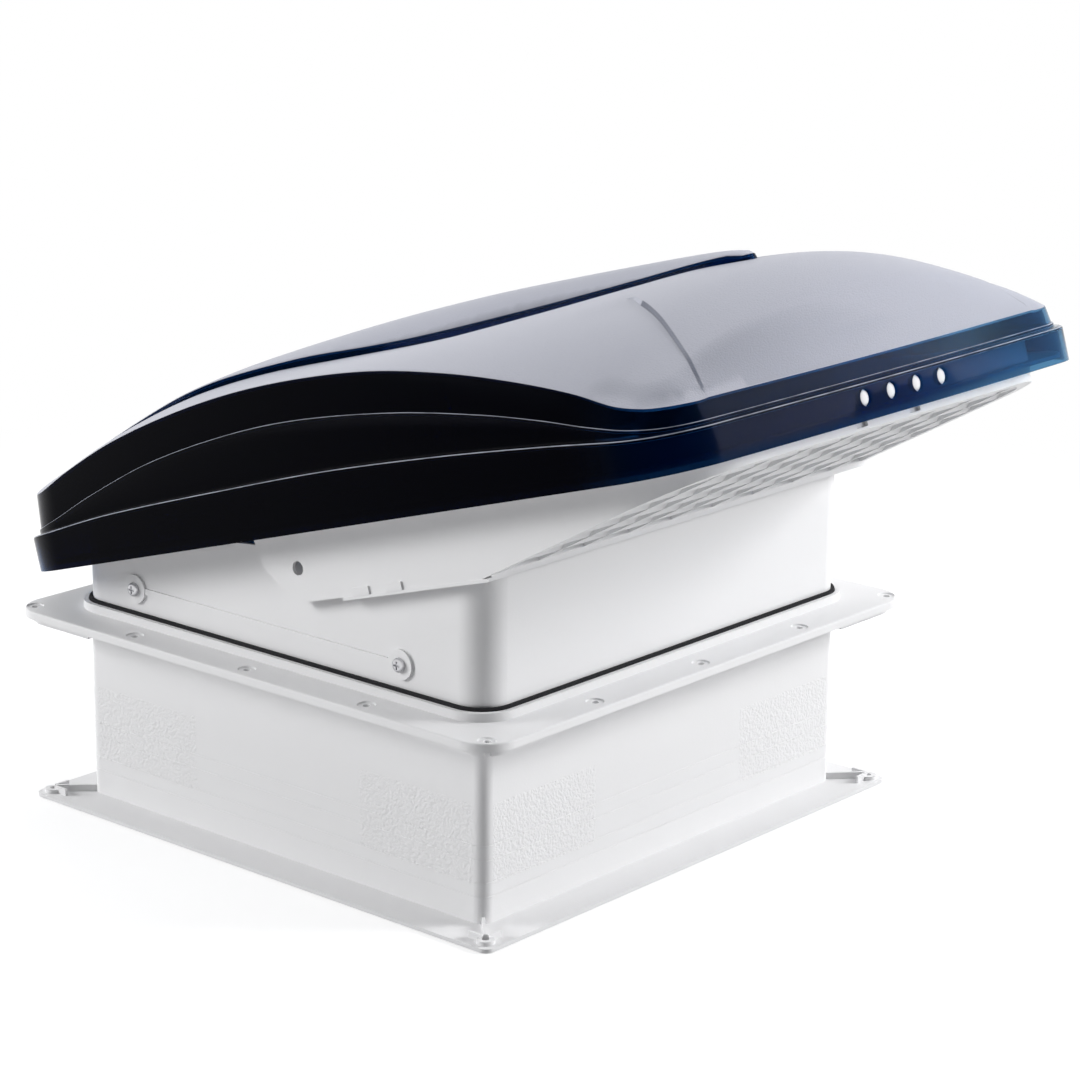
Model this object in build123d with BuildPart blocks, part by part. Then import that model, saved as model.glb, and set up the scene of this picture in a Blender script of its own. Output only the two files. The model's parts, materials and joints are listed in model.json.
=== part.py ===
from build123d import *
from math import atan2, cos, degrees, radians, sin, sqrt
import os

# Caravan roof vent with a tilting lid, in millimetres.
# X points to the end of the lid that rises, Z points up, and the origin is at
# the middle of the ceiling trim's four screw holes, on its bottom face.

os.makedirs("parts", exist_ok=True)

# Clearances
slip = 0.3
running = 0.05
through = 5.0

# Ceiling trim
trim_half = 201.75
trim_thickness = 2.5
trim_corner = 6.0
skirt_half = 175.0
skirt_wall = 2.5
skirt_corner = 8.0
skirt_top = 127.0
score_heights = (19.5, 28.5, 42.5, 52.0)
score_width = 0.9
score_depth = 0.35
trim_screw_half = 193.0
trim_screw_bore = 4.5
boss_diameter = 11.0
boss_height = 2.6
rib_thickness = 1.8
rib_height = 4.5
short_rib = 13.0
stop_height = 4.0
stop_reach = 7.0
stop_width = 24.0

# Roof flange with its collar and duct
flange_half = 209.5
flange_corner = 22.0
flange_thickness = 5.35
flange_edge_round = 1.2
flange_groove = 1.0
roof_screw_half = 198.5
roof_screw_pitch = 102.0
roof_screw_bore = 4.8
dimple_diameter = 10.0
dimple_depth = 0.8
pad_depth = 4.5
pad_length = 62.0
pad_edge = 6.0
collar_gap = 3.0
collar_wall = 3.2
collar_height = 5.4
duct_half = 171.8
duct_wall = 2.3
duct_bottom = 55.0
duct_top = 168.0
ledge_reach = 9.0
ledge_thickness = 3.0
ledge_top = 128.0

# Body
body_half = 177.6
body_wall = 2.5
body_corner = 20.0
body_rear_top = 186.0
body_front_top = 224.0
gasket_height = 3.6
screw_mid = -6.0
screw_half_pitch = 117.0
screw_height = 153.4
screw_pad_diameter = 19.0
screw_pad_height = 1.6
strip_width = 4.0
strip_height = 1.2
screw_shank = 4.0
screw_length = 11.0
screw_head_diameter = 9.0
screw_head_height = 2.8
recess_width = 1.3
recess_length = 5.2
recess_depth = 1.4
head_round_share = 0.6

# Lid hinge and how far the lid stands open
hinge_x = -97.6
hinge_z = 180.0
lid_open_angle = 16.67
pin_diameter = 8.0
pin_inner = 159.0
lug_thickness = 6.0
lug_width = 22.0
lug_gap = 1.0
hinge_boss_diameter = 18.0
hinge_boss_length = 6.0

# Lid, measured along and square to its lower edge from the hinge
edge_above_hinge = 4.0
lid_rear_reach = 118.9
lid_length = 584.0
lid_width = 419.0
lid_wall = 3.0
lid_rear_corner = 55.0
lid_front_corner = 44.0
lid_front_bow = 8.0
shell_inset = 5.0
crown_height = 104.0
shoulder_lean = 2.5
rim_rear_height = 21.5
rim_middle_height = 34.0
rim_front_height = 22.0
step_inset = 1.2
step_rear_height = 24.0
step_middle_height = 66.0
step_front_height = 23.0
spine_rear_half = 109.0
spine_lean = 1.0
end_hole_bore = 10.5
end_hole_pitch = 25.5
end_hole_height = 13.0
end_hole_count = 4
lid_post_diameter = 9.0

# Hood under the lid, with its louvre panel
hood_half = 186.2
hood_wall = 2.2
hood_depth = 44.0
hood_rear = 216.0
hood_front = 568.0
hood_corner = 52.0
hood_chamfer_run = 22.0
hood_chamfer_rise = 25.0
hood_rear_lean = 3.5
hood_slope_start = 400.0
hood_hole_bore = 9.0
hood_hole_drop = 22.9
hood_hole_run = 33.6
hood_top = 18.0
hood_lip = 6.0
flange_reach_gap = 2.0
hood_flange_thickness = 2.4
hood_flange_height = 3.0
hood_frame_rear = 48.0
bridge_height = 16.0
bridge_thickness = 4.0
strip_drop = 2.0
strip_inner = 182.6
strip_outer = 187.0
band_lead = 1.5
band_width = 7.0
band_height = 8.0
rail_height = 40.0
rail_plate = 3.0
rail_length = 52.0
rail_below = 12.0
rail_top = 88.0
rail_middle = 216.0
rail_foot = 16.0
rail_foot_thickness = 3.0
rail_bolt_offset = 8.0
louvre_frame_width = 7.0
louvre_frame_depth = 7.0
slat_count = 7
slat_chord = 24.0
slat_thickness = 1.8
slat_tilt = 24.0
louvre_rib_count = 8
louvre_rib_thickness = 1.8
louvre_rib_depth = 12.0
lip_slot_length = 11.0
lip_slot_height = 3.0
lip_slot_half_pitch = 26.4
clip_length = 14.0
clip_height = 5.0
clip_thickness = 1.2

# Lift shaft, arms and worm drive
shaft_x = 20.0
shaft_z = 193.0
shaft_diameter = 10.0
arm_length = 110.0
arm_open_angle = 50.26
arm_side = 135.0
arm_thickness = 6.0
arm_hub_diameter = 24.0
arm_tip_diameter = 16.0
roller_diameter = 12.0
roller_width = 8.0
roller_pin = 5.0
roller_play = 0.8
roller_travel = 18.0
wheel_side = 154.0
wheel_width = 8.0
wheel_teeth = 30
wheel_radius = 19.0
tooth_height = 2.2
tooth_gap = 2.0
worm_distance = 27.0
worm_length = 24.0
worm_groove = 2.2
worm_groove_count = 5
crank_diameter = 8.0
block_width = 24.0
block_height = 22.0
block_inner = 161.5
shelf_thickness = 3.0
bracket_top = 209.0
bracket_half_width = 11.0
bracket_plate = 5.0
knob_diameter = 28.0
knob_height = 9.0
knob_bottom = 0.8
knob_hole_gap = 0.6
knob_flute = 4.0
knob_flute_count = 10
knob_hub_diameter = 16.0
knob_hub_height = 10.0

# Fan, its shroud and its motor
fan_radius = 150.0
fan_gap = 3.0
shroud_wall = 2.5
shroud_half = 168.8
shroud_corner = 10.0
shroud_plate = 3.0
shroud_top = 168.0
hub_radius = 46.0
hub_bottom = 135.0
hub_height = 30.0
hub_wall = 3.0
blade_count = 10
blade_root_chord = 42.0
blade_tip_chord = 58.0
blade_thickness = 2.4
blade_root_pitch = 36.0
blade_tip_pitch = 20.0
motor_radius = 42.0
motor_height = 34.0
motor_shaft_diameter = 8.0
motor_shaft_top = 172.0
motor_bore_depth = 6.0
nut_across = 13.0
nut_height = 5.0
spider_ring_outer = 50.0
spider_ring_height = 20.0
spider_arm_width = 14.0
spider_arm_height = 6.0
spider_screw_place = 118.0
shroud_screw_x = 164.5
shroud_screw_y = 100.0
small_shank = 4.0
small_head_diameter = 8.0
small_head_height = 2.4

# Screen, fascia and controls
screen_bottom = 2.5
screen_height = 6.0
screen_border = 20.0
screen_gap = 1.0
fascia_depth = 62.0
fascia_corner = 4.0
fascia_boss = 14.0
fascia_boss_height = 8.0
fascia_boss_y = 140.0
fascia_boss_x = 90.0
fascia_thickness = 3.0
mesh_thickness = 0.8
screen_knob_diameter = 16.0
screen_knob_stem = 6.0
tongue_length = 22.0
tongue_width = 7.0
tongue_height = 2.5
screen_knob_inset = 12.0
screen_knob_front = -110.0
screen_knob_back = 55.0
screen_knob_bottom = 0.5
house_length = 180.0
house_middle = -67.0
house_width = 44.0
house_height = 26.0
house_wall = 2.0
house_side = 146.0
button_columns = 3
button_pitch = 20.0
button_row_pitch = 18.0
button_middle = -24.0
button_diameter = 11.0
button_rim = 14.0
button_rim_height = 1.2
button_bottom = 0.6
button_travel = 0.7
switch_size = 6.0
switch_gap = 1.0
window_length = 44.0
window_width = 20.0
window_place = -104.0
board_thickness = 1.6
board_bottom = 12.0
board_length = 166.0
board_width = 36.0
pillar_diameter = 5.0
pillar_inset = 4.0
sensor_diameter = 6.0
sensor_length = 12.0
sensor_place = 110.0
sensor_bottom = 1.0
gland_side = 14.0
gland_bore = 7.0
gland_flange_side = 20.0
gland_flange = 3.0
gland_length = 10.0
gland_place = -60.0
gland_height = 100.0

# Places worked out from the sizes above
flange_bottom = skirt_top - flange_groove
flange_top = flange_bottom + flange_thickness
collar_inner = body_half + collar_gap
collar_outer = collar_inner + collar_wall
collar_inner_corner = body_corner + collar_gap
duct_inner = duct_half - duct_wall
duct_corner = body_corner - (body_half - duct_half)
duct_inner_corner = duct_corner - duct_wall
body_inner = body_half - body_wall
body_inner_corner = body_corner - body_wall
body_slope = (body_front_top - body_rear_top) / (2 * body_half)
body_screws = (screw_mid - screw_half_pitch, screw_mid + screw_half_pitch)
shroud_inner = fan_radius + fan_gap
shroud_outer = shroud_inner + shroud_wall
spider_top = ledge_top
crank_x = shaft_x + worm_distance
lid_front = lid_length - lid_rear_reach
crown = edge_above_hinge + crown_height
skirt_inner = skirt_half - skirt_wall
skirt_inner_corner = skirt_corner - skirt_wall
screen_top = screen_bottom + screen_height
fascia_top = screen_bottom + fascia_thickness
gland_bottom = gland_height - gland_side / 2
gland_top = gland_height + gland_side / 2
fascia_boss_place = skirt_inner - fascia_boss / 2
fascia_bosses = (
    (-fascia_boss_place, fascia_boss_y),
    (fascia_boss_place, fascia_boss_y),
    (fascia_boss_x, fascia_boss_place),
)

# The lid's planes: one along its lower edge, and one across it from the side
tilt = radians(lid_open_angle)
hinge_point = (hinge_x, 0, hinge_z)
along_lid = (cos(tilt), 0, sin(tilt))
above_lid = (-sin(tilt), 0, cos(tilt))
lid_plane = Plane(origin=hinge_point, x_dir=along_lid, z_dir=above_lid)
lid_side_plane = Plane(origin=hinge_point, x_dir=along_lid, z_dir=(0, -1, 0))


def save(piece, name):
    piece.part.label = name
    export_step(piece.part, "parts/" + name + ".step")


def square_ring(half, corner, inner, inner_corner):
    """A rounded square with a rounded square hole, in the open sketch."""
    RectangleRounded(2 * half, 2 * half, corner)
    RectangleRounded(2 * inner, 2 * inner, inner_corner, mode=Mode.SUBTRACT)


def corners(place):
    """The four corners of a square pattern."""
    return [(-place, -place), (place, -place), (place, place), (-place, place)]


# Ceiling trim: flat flange, tall skirt, screw bosses and ribs
with BuildPart() as ceiling_trim:
    with BuildSketch():
        square_ring(trim_half, trim_corner, skirt_inner, skirt_inner_corner)
    extrude(amount=trim_thickness)
    with BuildSketch():
        square_ring(skirt_half, skirt_corner, skirt_inner, skirt_inner_corner)
    extrude(amount=skirt_top)
    for height in score_heights:
        with BuildSketch(Plane.XY.offset(height)):
            square_ring(skirt_half + through, skirt_corner, skirt_half - score_depth, skirt_corner - score_depth)
        extrude(amount=score_width, mode=Mode.SUBTRACT)
    with BuildSketch(Plane.XY.offset(trim_thickness)):
        with Locations(*corners(trim_screw_half)):
            Circle(boss_diameter / 2)
    extrude(amount=boss_height)
    rib_inner = skirt_half - skirt_corner * (1 - 1 / sqrt(2)) - skirt_wall / 2
    rib_middle = (rib_inner + trim_screw_half) / 2
    rib_length = (trim_screw_half - rib_inner) * sqrt(2)
    short_middle = trim_screw_half - short_rib / 2
    with BuildSketch(Plane.XY.offset(trim_thickness)):
        for x_sign, y_sign in corners(1):
            turn = 45 * x_sign * y_sign
            with Locations(Location((x_sign * rib_middle, y_sign * rib_middle), turn)):
                Rectangle(rib_length, rib_thickness)
            with Locations((x_sign * short_middle, y_sign * trim_screw_half)):
                Rectangle(short_rib, rib_thickness)
            with Locations((x_sign * trim_screw_half, y_sign * short_middle)):
                Rectangle(rib_thickness, short_rib)
    extrude(amount=rib_height)
    with BuildSketch(Plane.XY.offset(-through)):
        with Locations(*corners(trim_screw_half)):
            Circle(trim_screw_bore / 2)
    extrude(amount=2 * through + trim_thickness + rib_height, mode=Mode.SUBTRACT)
    # Stops over the screen frame, where the four knobs hold it
    stop_middle = skirt_inner - stop_reach / 2
    with BuildSketch(Plane.XY.offset(screen_top + slip)):
        for y in (screen_knob_front, screen_knob_back):
            with Locations((-stop_middle, y), (stop_middle, y)):
                Rectangle(stop_reach, stop_width)
    extrude(amount=stop_height)
    # Bosses that the fascia is screwed to
    with BuildSketch(Plane.XY.offset(fascia_top)):
        for x, y in fascia_bosses:
            with Locations((x, y)):
                Rectangle(fascia_boss, fascia_boss)
    extrude(amount=fascia_boss_height)
    with BuildSketch(Plane.XY.offset(fascia_top - through)):
        with Locations(*fascia_bosses):
            Circle(small_shank / 2)
    extrude(amount=through + fascia_boss_height + through, mode=Mode.SUBTRACT)
    # Slot down from the skirt's upper edge, so that the trim can be pushed up over the lead's gland
    slot_height = skirt_top + through - gland_bottom
    with BuildSketch(Plane.YZ.offset(-skirt_half - through)):
        with Locations((gland_place, gland_bottom + slot_height / 2)):
            Rectangle(gland_side, slot_height)
    extrude(amount=skirt_wall + 2 * through, mode=Mode.SUBTRACT)
save(ceiling_trim, "ceiling_trim")

# Roof flange: plate, corner pads, collar, duct and the ledge for the shroud
roof_screws = corners(roof_screw_half)
for place in (-roof_screw_pitch, 0, roof_screw_pitch):
    roof_screws += [(place, -roof_screw_half), (place, roof_screw_half)]
    roof_screws += [(-roof_screw_half, place), (roof_screw_half, place)]
with BuildPart() as roof_flange:
    with BuildSketch(Plane.XY.offset(flange_bottom)):
        square_ring(flange_half, flange_corner, duct_inner, duct_inner_corner)
    extrude(amount=flange_thickness)
    plate_edges = roof_flange.edges().filter_by(Plane.XY).group_by(Axis.Z)[-1]
    outer_edges = plate_edges.filter_by(lambda e: e.center().length > duct_half)
    fillet(outer_edges, flange_edge_round)
    pad_outer = flange_half - pad_edge
    pad_inner = skirt_half + slip
    with BuildSketch(Plane.XY.offset(flange_bottom - pad_depth)):
        square_ring(pad_outer, flange_corner - pad_edge, pad_inner, skirt_corner + slip)
        Rectangle(2 * (pad_outer - pad_length), 2 * flange_half, mode=Mode.SUBTRACT)
        Rectangle(2 * flange_half, 2 * (pad_outer - pad_length), mode=Mode.SUBTRACT)
    extrude(amount=pad_depth)
    # Groove that the skirt's upper edge stands in
    with BuildSketch(Plane.XY.offset(flange_bottom - through)):
        square_ring(skirt_half + slip, skirt_corner + slip, duct_half, duct_corner)
    extrude(amount=through + flange_groove, mode=Mode.SUBTRACT)
    with BuildSketch(Plane.XY.offset(flange_top)):
        square_ring(collar_outer, collar_inner_corner + collar_wall, collar_inner, collar_inner_corner)
    extrude(amount=collar_height)
    with BuildSketch(Plane.XY.offset(duct_bottom)):
        square_ring(duct_half, duct_corner, duct_inner, duct_inner_corner)
    extrude(amount=duct_top - duct_bottom)
    with BuildSketch(Plane.XY.offset(ledge_top - ledge_thickness)):
        square_ring(duct_half, duct_corner, duct_inner - ledge_reach, skirt_corner)
    extrude(amount=ledge_thickness)
    # Bosses on the duct that take the body's screws
    for side in (-1, 1):
        with BuildSketch(Plane.XZ.offset(-side * duct_half)):
            with Locations(*[(x, screw_height) for x in body_screws]):
                Circle(boss_diameter / 2)
        extrude(amount=-side * (body_inner - duct_half))
        with BuildSketch(Plane.XZ.offset(-side * (body_inner + through))):
            with Locations(*[(x, screw_height) for x in body_screws]):
                Circle(screw_shank / 2)
        extrude(amount=side * (through + body_wall + 2 * duct_wall + through), mode=Mode.SUBTRACT)
    with BuildSketch(Plane.XY.offset(flange_bottom - pad_depth - through)):
        with Locations(*roof_screws):
            Circle(roof_screw_bore / 2)
    extrude(amount=pad_depth + flange_thickness + 2 * through, mode=Mode.SUBTRACT)
    with BuildSketch(Plane.XY.offset(flange_top - dimple_depth)):
        with Locations(*roof_screws):
            Circle(dimple_diameter / 2)
    extrude(amount=through, taper=-45, mode=Mode.SUBTRACT)
    with BuildSketch(Plane.XY.offset(ledge_top - ledge_thickness - through)):
        with GridLocations(2 * shroud_screw_x, 2 * shroud_screw_y, 2, 2):
            Circle(small_shank / 2)
    extrude(amount=ledge_thickness + 2 * through, mode=Mode.SUBTRACT)
    # Slot up from the duct's lower edge, which the power lead's gland slides into
    slot_height = gland_top + through - duct_bottom
    with BuildSketch(Plane.YZ.offset(-duct_half - through)):
        with Locations((gland_place, gland_top - slot_height / 2)):
            Rectangle(gland_side, slot_height)
    extrude(amount=duct_wall + 2 * through, mode=Mode.SUBTRACT)
save(roof_flange, "roof_flange")

# Foam gasket in the gap between the collar and the body
with BuildPart() as flange_gasket:
    with BuildSketch(Plane.XY.offset(flange_top)):
        square_ring(collar_inner - slip, collar_inner_corner - slip, body_half + slip, body_corner + slip)
    extrude(amount=gasket_height)
save(flange_gasket, "flange_gasket")

# Body: box with a top that rises to the front, screw pads and their strip
with BuildPart() as body:
    with BuildSketch(Plane.XY.offset(flange_top)):
        square_ring(body_half, body_corner, body_inner, body_inner_corner)
    extrude(amount=body_front_top - flange_top)
    for side in (-1, 1):
        with BuildSketch(Plane.XZ.offset(-side * body_half)):
            with Locations(*[(x, screw_height) for x in body_screws]):
                Circle(screw_pad_diameter / 2)
        extrude(amount=-side * screw_pad_height)
        with BuildSketch(Plane.XZ.offset(-side * body_half)):
            with Locations((screw_mid, screw_height)):
                Rectangle(2 * screw_half_pitch, strip_width)
        extrude(amount=-side * strip_height)
        with BuildSketch(Plane.XZ.offset(-side * (body_half + through))):
            with Locations(*[(x, screw_height) for x in body_screws]):
                Circle(screw_shank / 2)
        extrude(amount=side * (2 * through + body_wall), mode=Mode.SUBTRACT)
        # Bosses that carry the hinge pins
        with BuildSketch(Plane.XZ.offset(-side * body_inner)):
            with Locations((hinge_x, hinge_z)):
                Circle(hinge_boss_diameter / 2)
        extrude(amount=side * hinge_boss_length)
        with BuildSketch(Plane.XZ.offset(-side * (body_inner + body_wall / 2))):
            with Locations((hinge_x, hinge_z)):
                Circle(pin_diameter / 2)
        extrude(amount=side * (hinge_boss_length + through), mode=Mode.SUBTRACT)
    # Slope the top
    body_end = body_half + through
    end_rise = through * body_slope
    with BuildSketch(Plane.XZ):
        with BuildLine():
            Polyline(
                (-body_end, body_rear_top - end_rise),
                (body_end, body_front_top + end_rise),
                (body_end, body_front_top + body_half),
                (-body_end, body_front_top + body_half),
                close=True,
            )
        make_face()
    extrude(amount=body_end, both=True, mode=Mode.SUBTRACT)
save(body, "body")


def pan_screws(planes, head, height, shank, length):
    """Screws that stand on planes, each with a round head and a cross recess."""
    scale = head / screw_head_diameter
    with BuildPart() as screws:
        for plane in planes:
            with BuildSketch(plane):
                Circle(head / 2)
            extrude(amount=height)
            top = screws.faces(Select.LAST).sort_by(Axis(plane.origin, plane.z_dir))[-1]
            fillet(top.edges(), height * head_round_share)
            with BuildSketch(plane):
                Circle(shank / 2)
            extrude(amount=-length)
            with BuildSketch(plane.offset(height - recess_depth * scale)):
                Rectangle(recess_length * scale, recess_width * scale)
                Rectangle(recess_width * scale, recess_length * scale)
            extrude(amount=recess_depth * scale + through, mode=Mode.SUBTRACT)
    return screws


# Four pan screws that hold the body to the duct
body_screw_planes = []
for side in (-1, 1):
    for x in body_screws:
        seat = (x, side * (body_half + screw_pad_height), screw_height)
        body_screw_planes.append(Plane(origin=seat, x_dir=(1, 0, 0), z_dir=(0, side, 0)))
body_screw_set = pan_screws(
    body_screw_planes, screw_head_diameter, screw_head_height, screw_shank, screw_length
)
save(body_screw_set, "body_screws")

# Two pins that the lid turns on
with BuildPart() as hinge_pins:
    for side in (-1, 1):
        pin_end = body_inner + body_wall / 2
        with BuildSketch(Plane.XZ.offset(-side * pin_end)):
            with Locations((hinge_x, hinge_z)):
                Circle(pin_diameter / 2)
        extrude(amount=side * (pin_end - pin_inner))
save(hinge_pins, "hinge_pins")

# Lid stations from the rear end: share of the length, then the heights of the
# shoulder and of the crown as shares of the crown height
lid_station_shares = (
    (0.000, 0.375, 0.740),
    (0.056, 0.452, 0.840),
    (0.123, 0.582, 0.912),
    (0.209, 0.712, 0.930),
    (0.312, 0.808, 0.908),
    (0.414, 0.860, 0.895),
    (0.517, 0.865, 0.905),
    (0.620, 0.827, 0.938),
    (0.723, 0.731, 0.975),
    (0.808, 0.615, 0.995),
    (0.877, 0.498, 0.962),
    (0.918, 0.410, 0.880),
    (0.949, 0.362, 0.775),
    (0.968, 0.345, 0.672),
    (0.980, 0.338, 0.560),
    (0.992, 0.335, 0.380),
)
# Spine stations: share of the length, half of the width at the rear taken as
# one, then the heights of the edge and of the middle
spine_station_shares = (
    (0.000, 1.000, 0.665, 0.790),
    (0.074, 0.880, 0.810, 0.905),
    (0.128, 0.795, 0.895, 0.965),
    (0.178, 0.690, 0.940, 1.005),
    (0.262, 0.505, 0.962, 1.045),
    (0.345, 0.370, 0.945, 1.072),
    (0.410, 0.305, 0.940, 1.085),
    (0.500, 0.250, 0.950, 1.095),
    (0.600, 0.205, 0.970, 1.092),
    (0.710, 0.170, 1.003, 1.082),
    (0.780, 0.145, 1.028, 1.072),
    (0.815, 0.128, 1.036, 1.060),
    (0.832, 0.098, 1.036, 1.045),
    (0.840, 0.060, 1.030, 1.033),
)


def lid_block(inset, bottom, top):
    """A prism of the lid's plan outline, drawn in by an inset, between two heights."""
    rear = -lid_rear_reach + inset
    front = lid_front - inset
    half = lid_width / 2 - inset
    front_side = front - lid_front_bow
    with BuildPart() as block:
        with BuildSketch(lid_plane.offset(bottom)) as outline:
            with BuildLine():
                Polyline((front_side, half), (rear, half), (rear, -half), (front_side, -half))
                ThreePointArc((front_side, -half), (front, 0), (front_side, half))
            make_face()
            fillet(outline.vertices().sort_by(Axis.X)[:2], lid_rear_corner - inset)
            fillet(outline.vertices().sort_by(Axis.X)[-2:], lid_front_corner - inset)
        extrude(amount=top - bottom)
    return block.part


def side_solid(points, half):
    """A solid across the lid under a curve through points along its side."""
    with BuildPart() as solid:
        with BuildSketch(lid_side_plane.offset(-half)):
            with BuildLine():
                Spline(*points)
                Polyline(points[-1], (points[-1][0], -through), (points[0][0], -through), points[0])
            make_face()
        extrude(amount=2 * half)
    return solid.part


def arch(rear_height, middle_height, front_height, lower):
    """Three points of an arch along the lid's side, which runs past both of its ends."""
    rear = -lid_rear_reach - through
    front = lid_front + through
    base = edge_above_hinge - lower
    middle = (rear + front) / 2
    return [(rear, base + rear_height), (middle, base + middle_height), (front, base + front_height)]


def arched_form(stations, bottom, lean):
    """A solid through arched sections, each given by its place, half width, edge and middle."""
    with BuildPart() as form:
        for along, half, edge, middle in stations:
            station = lid_plane.location * Location((along, 0, 0))
            section_plane = Plane(origin=station.position, x_dir=(0, 1, 0), z_dir=along_lid)
            with BuildSketch(section_plane):
                with BuildLine():
                    Polyline((half - lean, edge), (half, bottom), (-half, bottom), (lean - half, edge))
                    ThreePointArc((lean - half, edge), (0, middle), (half - lean, edge))
                make_face()
        loft()
    return form.part


def lid_form(wall):
    """The closed outer form of the lid, drawn in by a wall all round."""
    half = lid_width / 2 - shell_inset - step_inset - wall
    bottom = edge_above_hinge - (through if wall else 0)
    rise = edge_above_hinge - wall
    stations = []
    for along, shoulder, middle in lid_station_shares:
        place = -lid_rear_reach + along * lid_length
        stations.append((place, half, rise + shoulder * crown_height, rise + middle * crown_height))
    with BuildPart() as dome:
        add(arched_form(stations, bottom - edge_above_hinge, shoulder_lean))
        add(lid_block(shell_inset + step_inset + wall, bottom, crown + through), mode=Mode.INTERSECT)
    return dome.part


def band_form(inset, heights, wall):
    """A band of the lid's side under an arch, drawn in by an inset and a wall."""
    bottom = edge_above_hinge - (through if wall else 0)
    with BuildPart() as band:
        add(lid_block(inset + wall, bottom, crown))
        add(side_solid(arch(*heights, wall), lid_width), mode=Mode.INTERSECT)
    return band.part


def spine_form(wall):
    """The raised panel that runs from the rear end along the lid's middle."""
    rise = edge_above_hinge - wall
    length = lid_length - wall / spine_station_shares[-1][0]
    stations = []
    for along, width, edge, middle in spine_station_shares:
        place = -lid_rear_reach + along * length
        half = width * spine_rear_half - wall
        stations.append((place, half, rise + edge * crown_height, rise + middle * crown_height))
    with BuildPart() as spine:
        add(arched_form(stations, edge_above_hinge, spine_lean))
        add(lid_block(shell_inset + step_inset + wall, 0, crown + crown_height), mode=Mode.INTERSECT)
    return spine.part


# Posts inside the lid, for the hood's screws and for the two lift rails
post_side = lid_width / 2 - shell_inset - lid_wall - lid_post_diameter
post_shares = (0.145, 0.42, 0.66, 0.87)
hood_posts = []
for share in post_shares:
    for side in (-1, 1):
        hood_posts.append((share * lid_length - lid_rear_reach, side * post_side))
rail_side = arm_side + arm_thickness / 2 + slip + roller_width / 2
rail_bolt_half = rail_length / 2 - rail_foot / 2
rail_bolt_side = rail_side + rail_bolt_offset
rail_posts = [(rail_middle + x * rail_bolt_half, y * rail_bolt_side) for x, y in corners(1)]
hood_plate_bottom = edge_above_hinge + hood_flange_height
hood_plate_top = hood_plate_bottom + hood_flange_thickness

lid_dome = lid_form(0)
rim_heights = (rim_rear_height, rim_middle_height, rim_front_height)
step_heights = (step_rear_height, step_middle_height, step_front_height)
with BuildPart() as lid_post_set:
    with BuildSketch(lid_plane.offset(hood_plate_top)):
        with Locations(*hood_posts):
            Circle(lid_post_diameter / 2)
    extrude(amount=crown_height)
    with BuildSketch(lid_plane.offset(rail_top)):
        with Locations(*rail_posts):
            Circle(lid_post_diameter / 2)
    extrude(amount=crown_height)
    add(lid_dome, mode=Mode.INTERSECT)

# Lid: shell, stepped side, rim band, spine, posts and the four end holes
with BuildPart() as lid:
    add(lid_dome)
    add(spine_form(0))
    add(band_form(shell_inset, step_heights, 0))
    add(band_form(0, rim_heights, 0))
    add(lid_form(lid_wall), mode=Mode.SUBTRACT)
    add(spine_form(lid_wall), mode=Mode.SUBTRACT)
    add(band_form(0, rim_heights, lid_wall), mode=Mode.SUBTRACT)
    add(lid_post_set.part)
    end_hole_first = -(end_hole_count - 1) / 2 * end_hole_pitch
    hole_plane = Plane(origin=hinge_point, x_dir=(0, 1, 0), z_dir=along_lid).offset(lid_front + through)
    with BuildSketch(hole_plane):
        for number in range(end_hole_count):
            with Locations((end_hole_first + number * end_hole_pitch, edge_above_hinge + end_hole_height)):
                Circle(end_hole_bore / 2)
    extrude(amount=-(2 * through + lid_wall), mode=Mode.SUBTRACT)
    with BuildSketch(lid_plane.offset(hood_plate_top - through)):
        with Locations(*hood_posts):
            Circle(small_shank / 2)
    extrude(amount=through + lid_post_diameter, mode=Mode.SUBTRACT)
    with BuildSketch(lid_plane.offset(rail_top - through)):
        with Locations(*rail_posts):
            Circle(small_shank / 2)
    extrude(amount=through + lid_post_diameter / 2, mode=Mode.SUBTRACT)
save(lid, "lid")

# Hood: the walls round the opening under the lid, its flange and the hinge lugs
hood_rear_end = hood_rear - lid_rear_reach
hood_front_end = hood_front - lid_rear_reach
hood_slope_end = hood_slope_start - lid_rear_reach
hood_bottom = edge_above_hinge - hood_depth
hood_wall_top = edge_above_hinge + hood_top
hood_lip_bottom = edge_above_hinge - hood_lip


def hood_prism(rear, inset, bottom, top):
    """A prism of the hood's plan outline, square at the rear and rounded in front."""
    length = hood_front_end - inset - rear
    with BuildPart() as prism:
        with BuildSketch(lid_plane.offset(bottom)) as outline:
            with Locations((rear + length / 2, 0)):
                Rectangle(length, 2 * (hood_half - inset))
            fillet(outline.vertices().group_by(Axis.X)[-1], hood_corner - inset)
        extrude(amount=top - bottom)
    return prism.part


with BuildPart() as hood_walls:
    add(hood_prism(hood_rear_end, 0, hood_bottom, hood_wall_top))
    add(hood_prism(hood_rear_end - through, hood_wall, hood_bottom - through, hood_wall_top + through),
        mode=Mode.SUBTRACT)
    with BuildSketch(lid_side_plane):
        with BuildLine():
            Polyline(
                (hood_rear_end, hood_wall_top),
                (hood_rear_end, edge_above_hinge),
                (hood_rear_end + hood_rear_lean, hood_bottom + hood_chamfer_rise),
                (hood_rear_end + hood_rear_lean + hood_chamfer_run, hood_bottom),
                (hood_slope_end, hood_bottom),
                (hood_front_end, hood_lip_bottom),
                (hood_front_end, hood_wall_top),
                close=True,
            )
        make_face()
    extrude(amount=hood_half, both=True, mode=Mode.INTERSECT)

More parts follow.
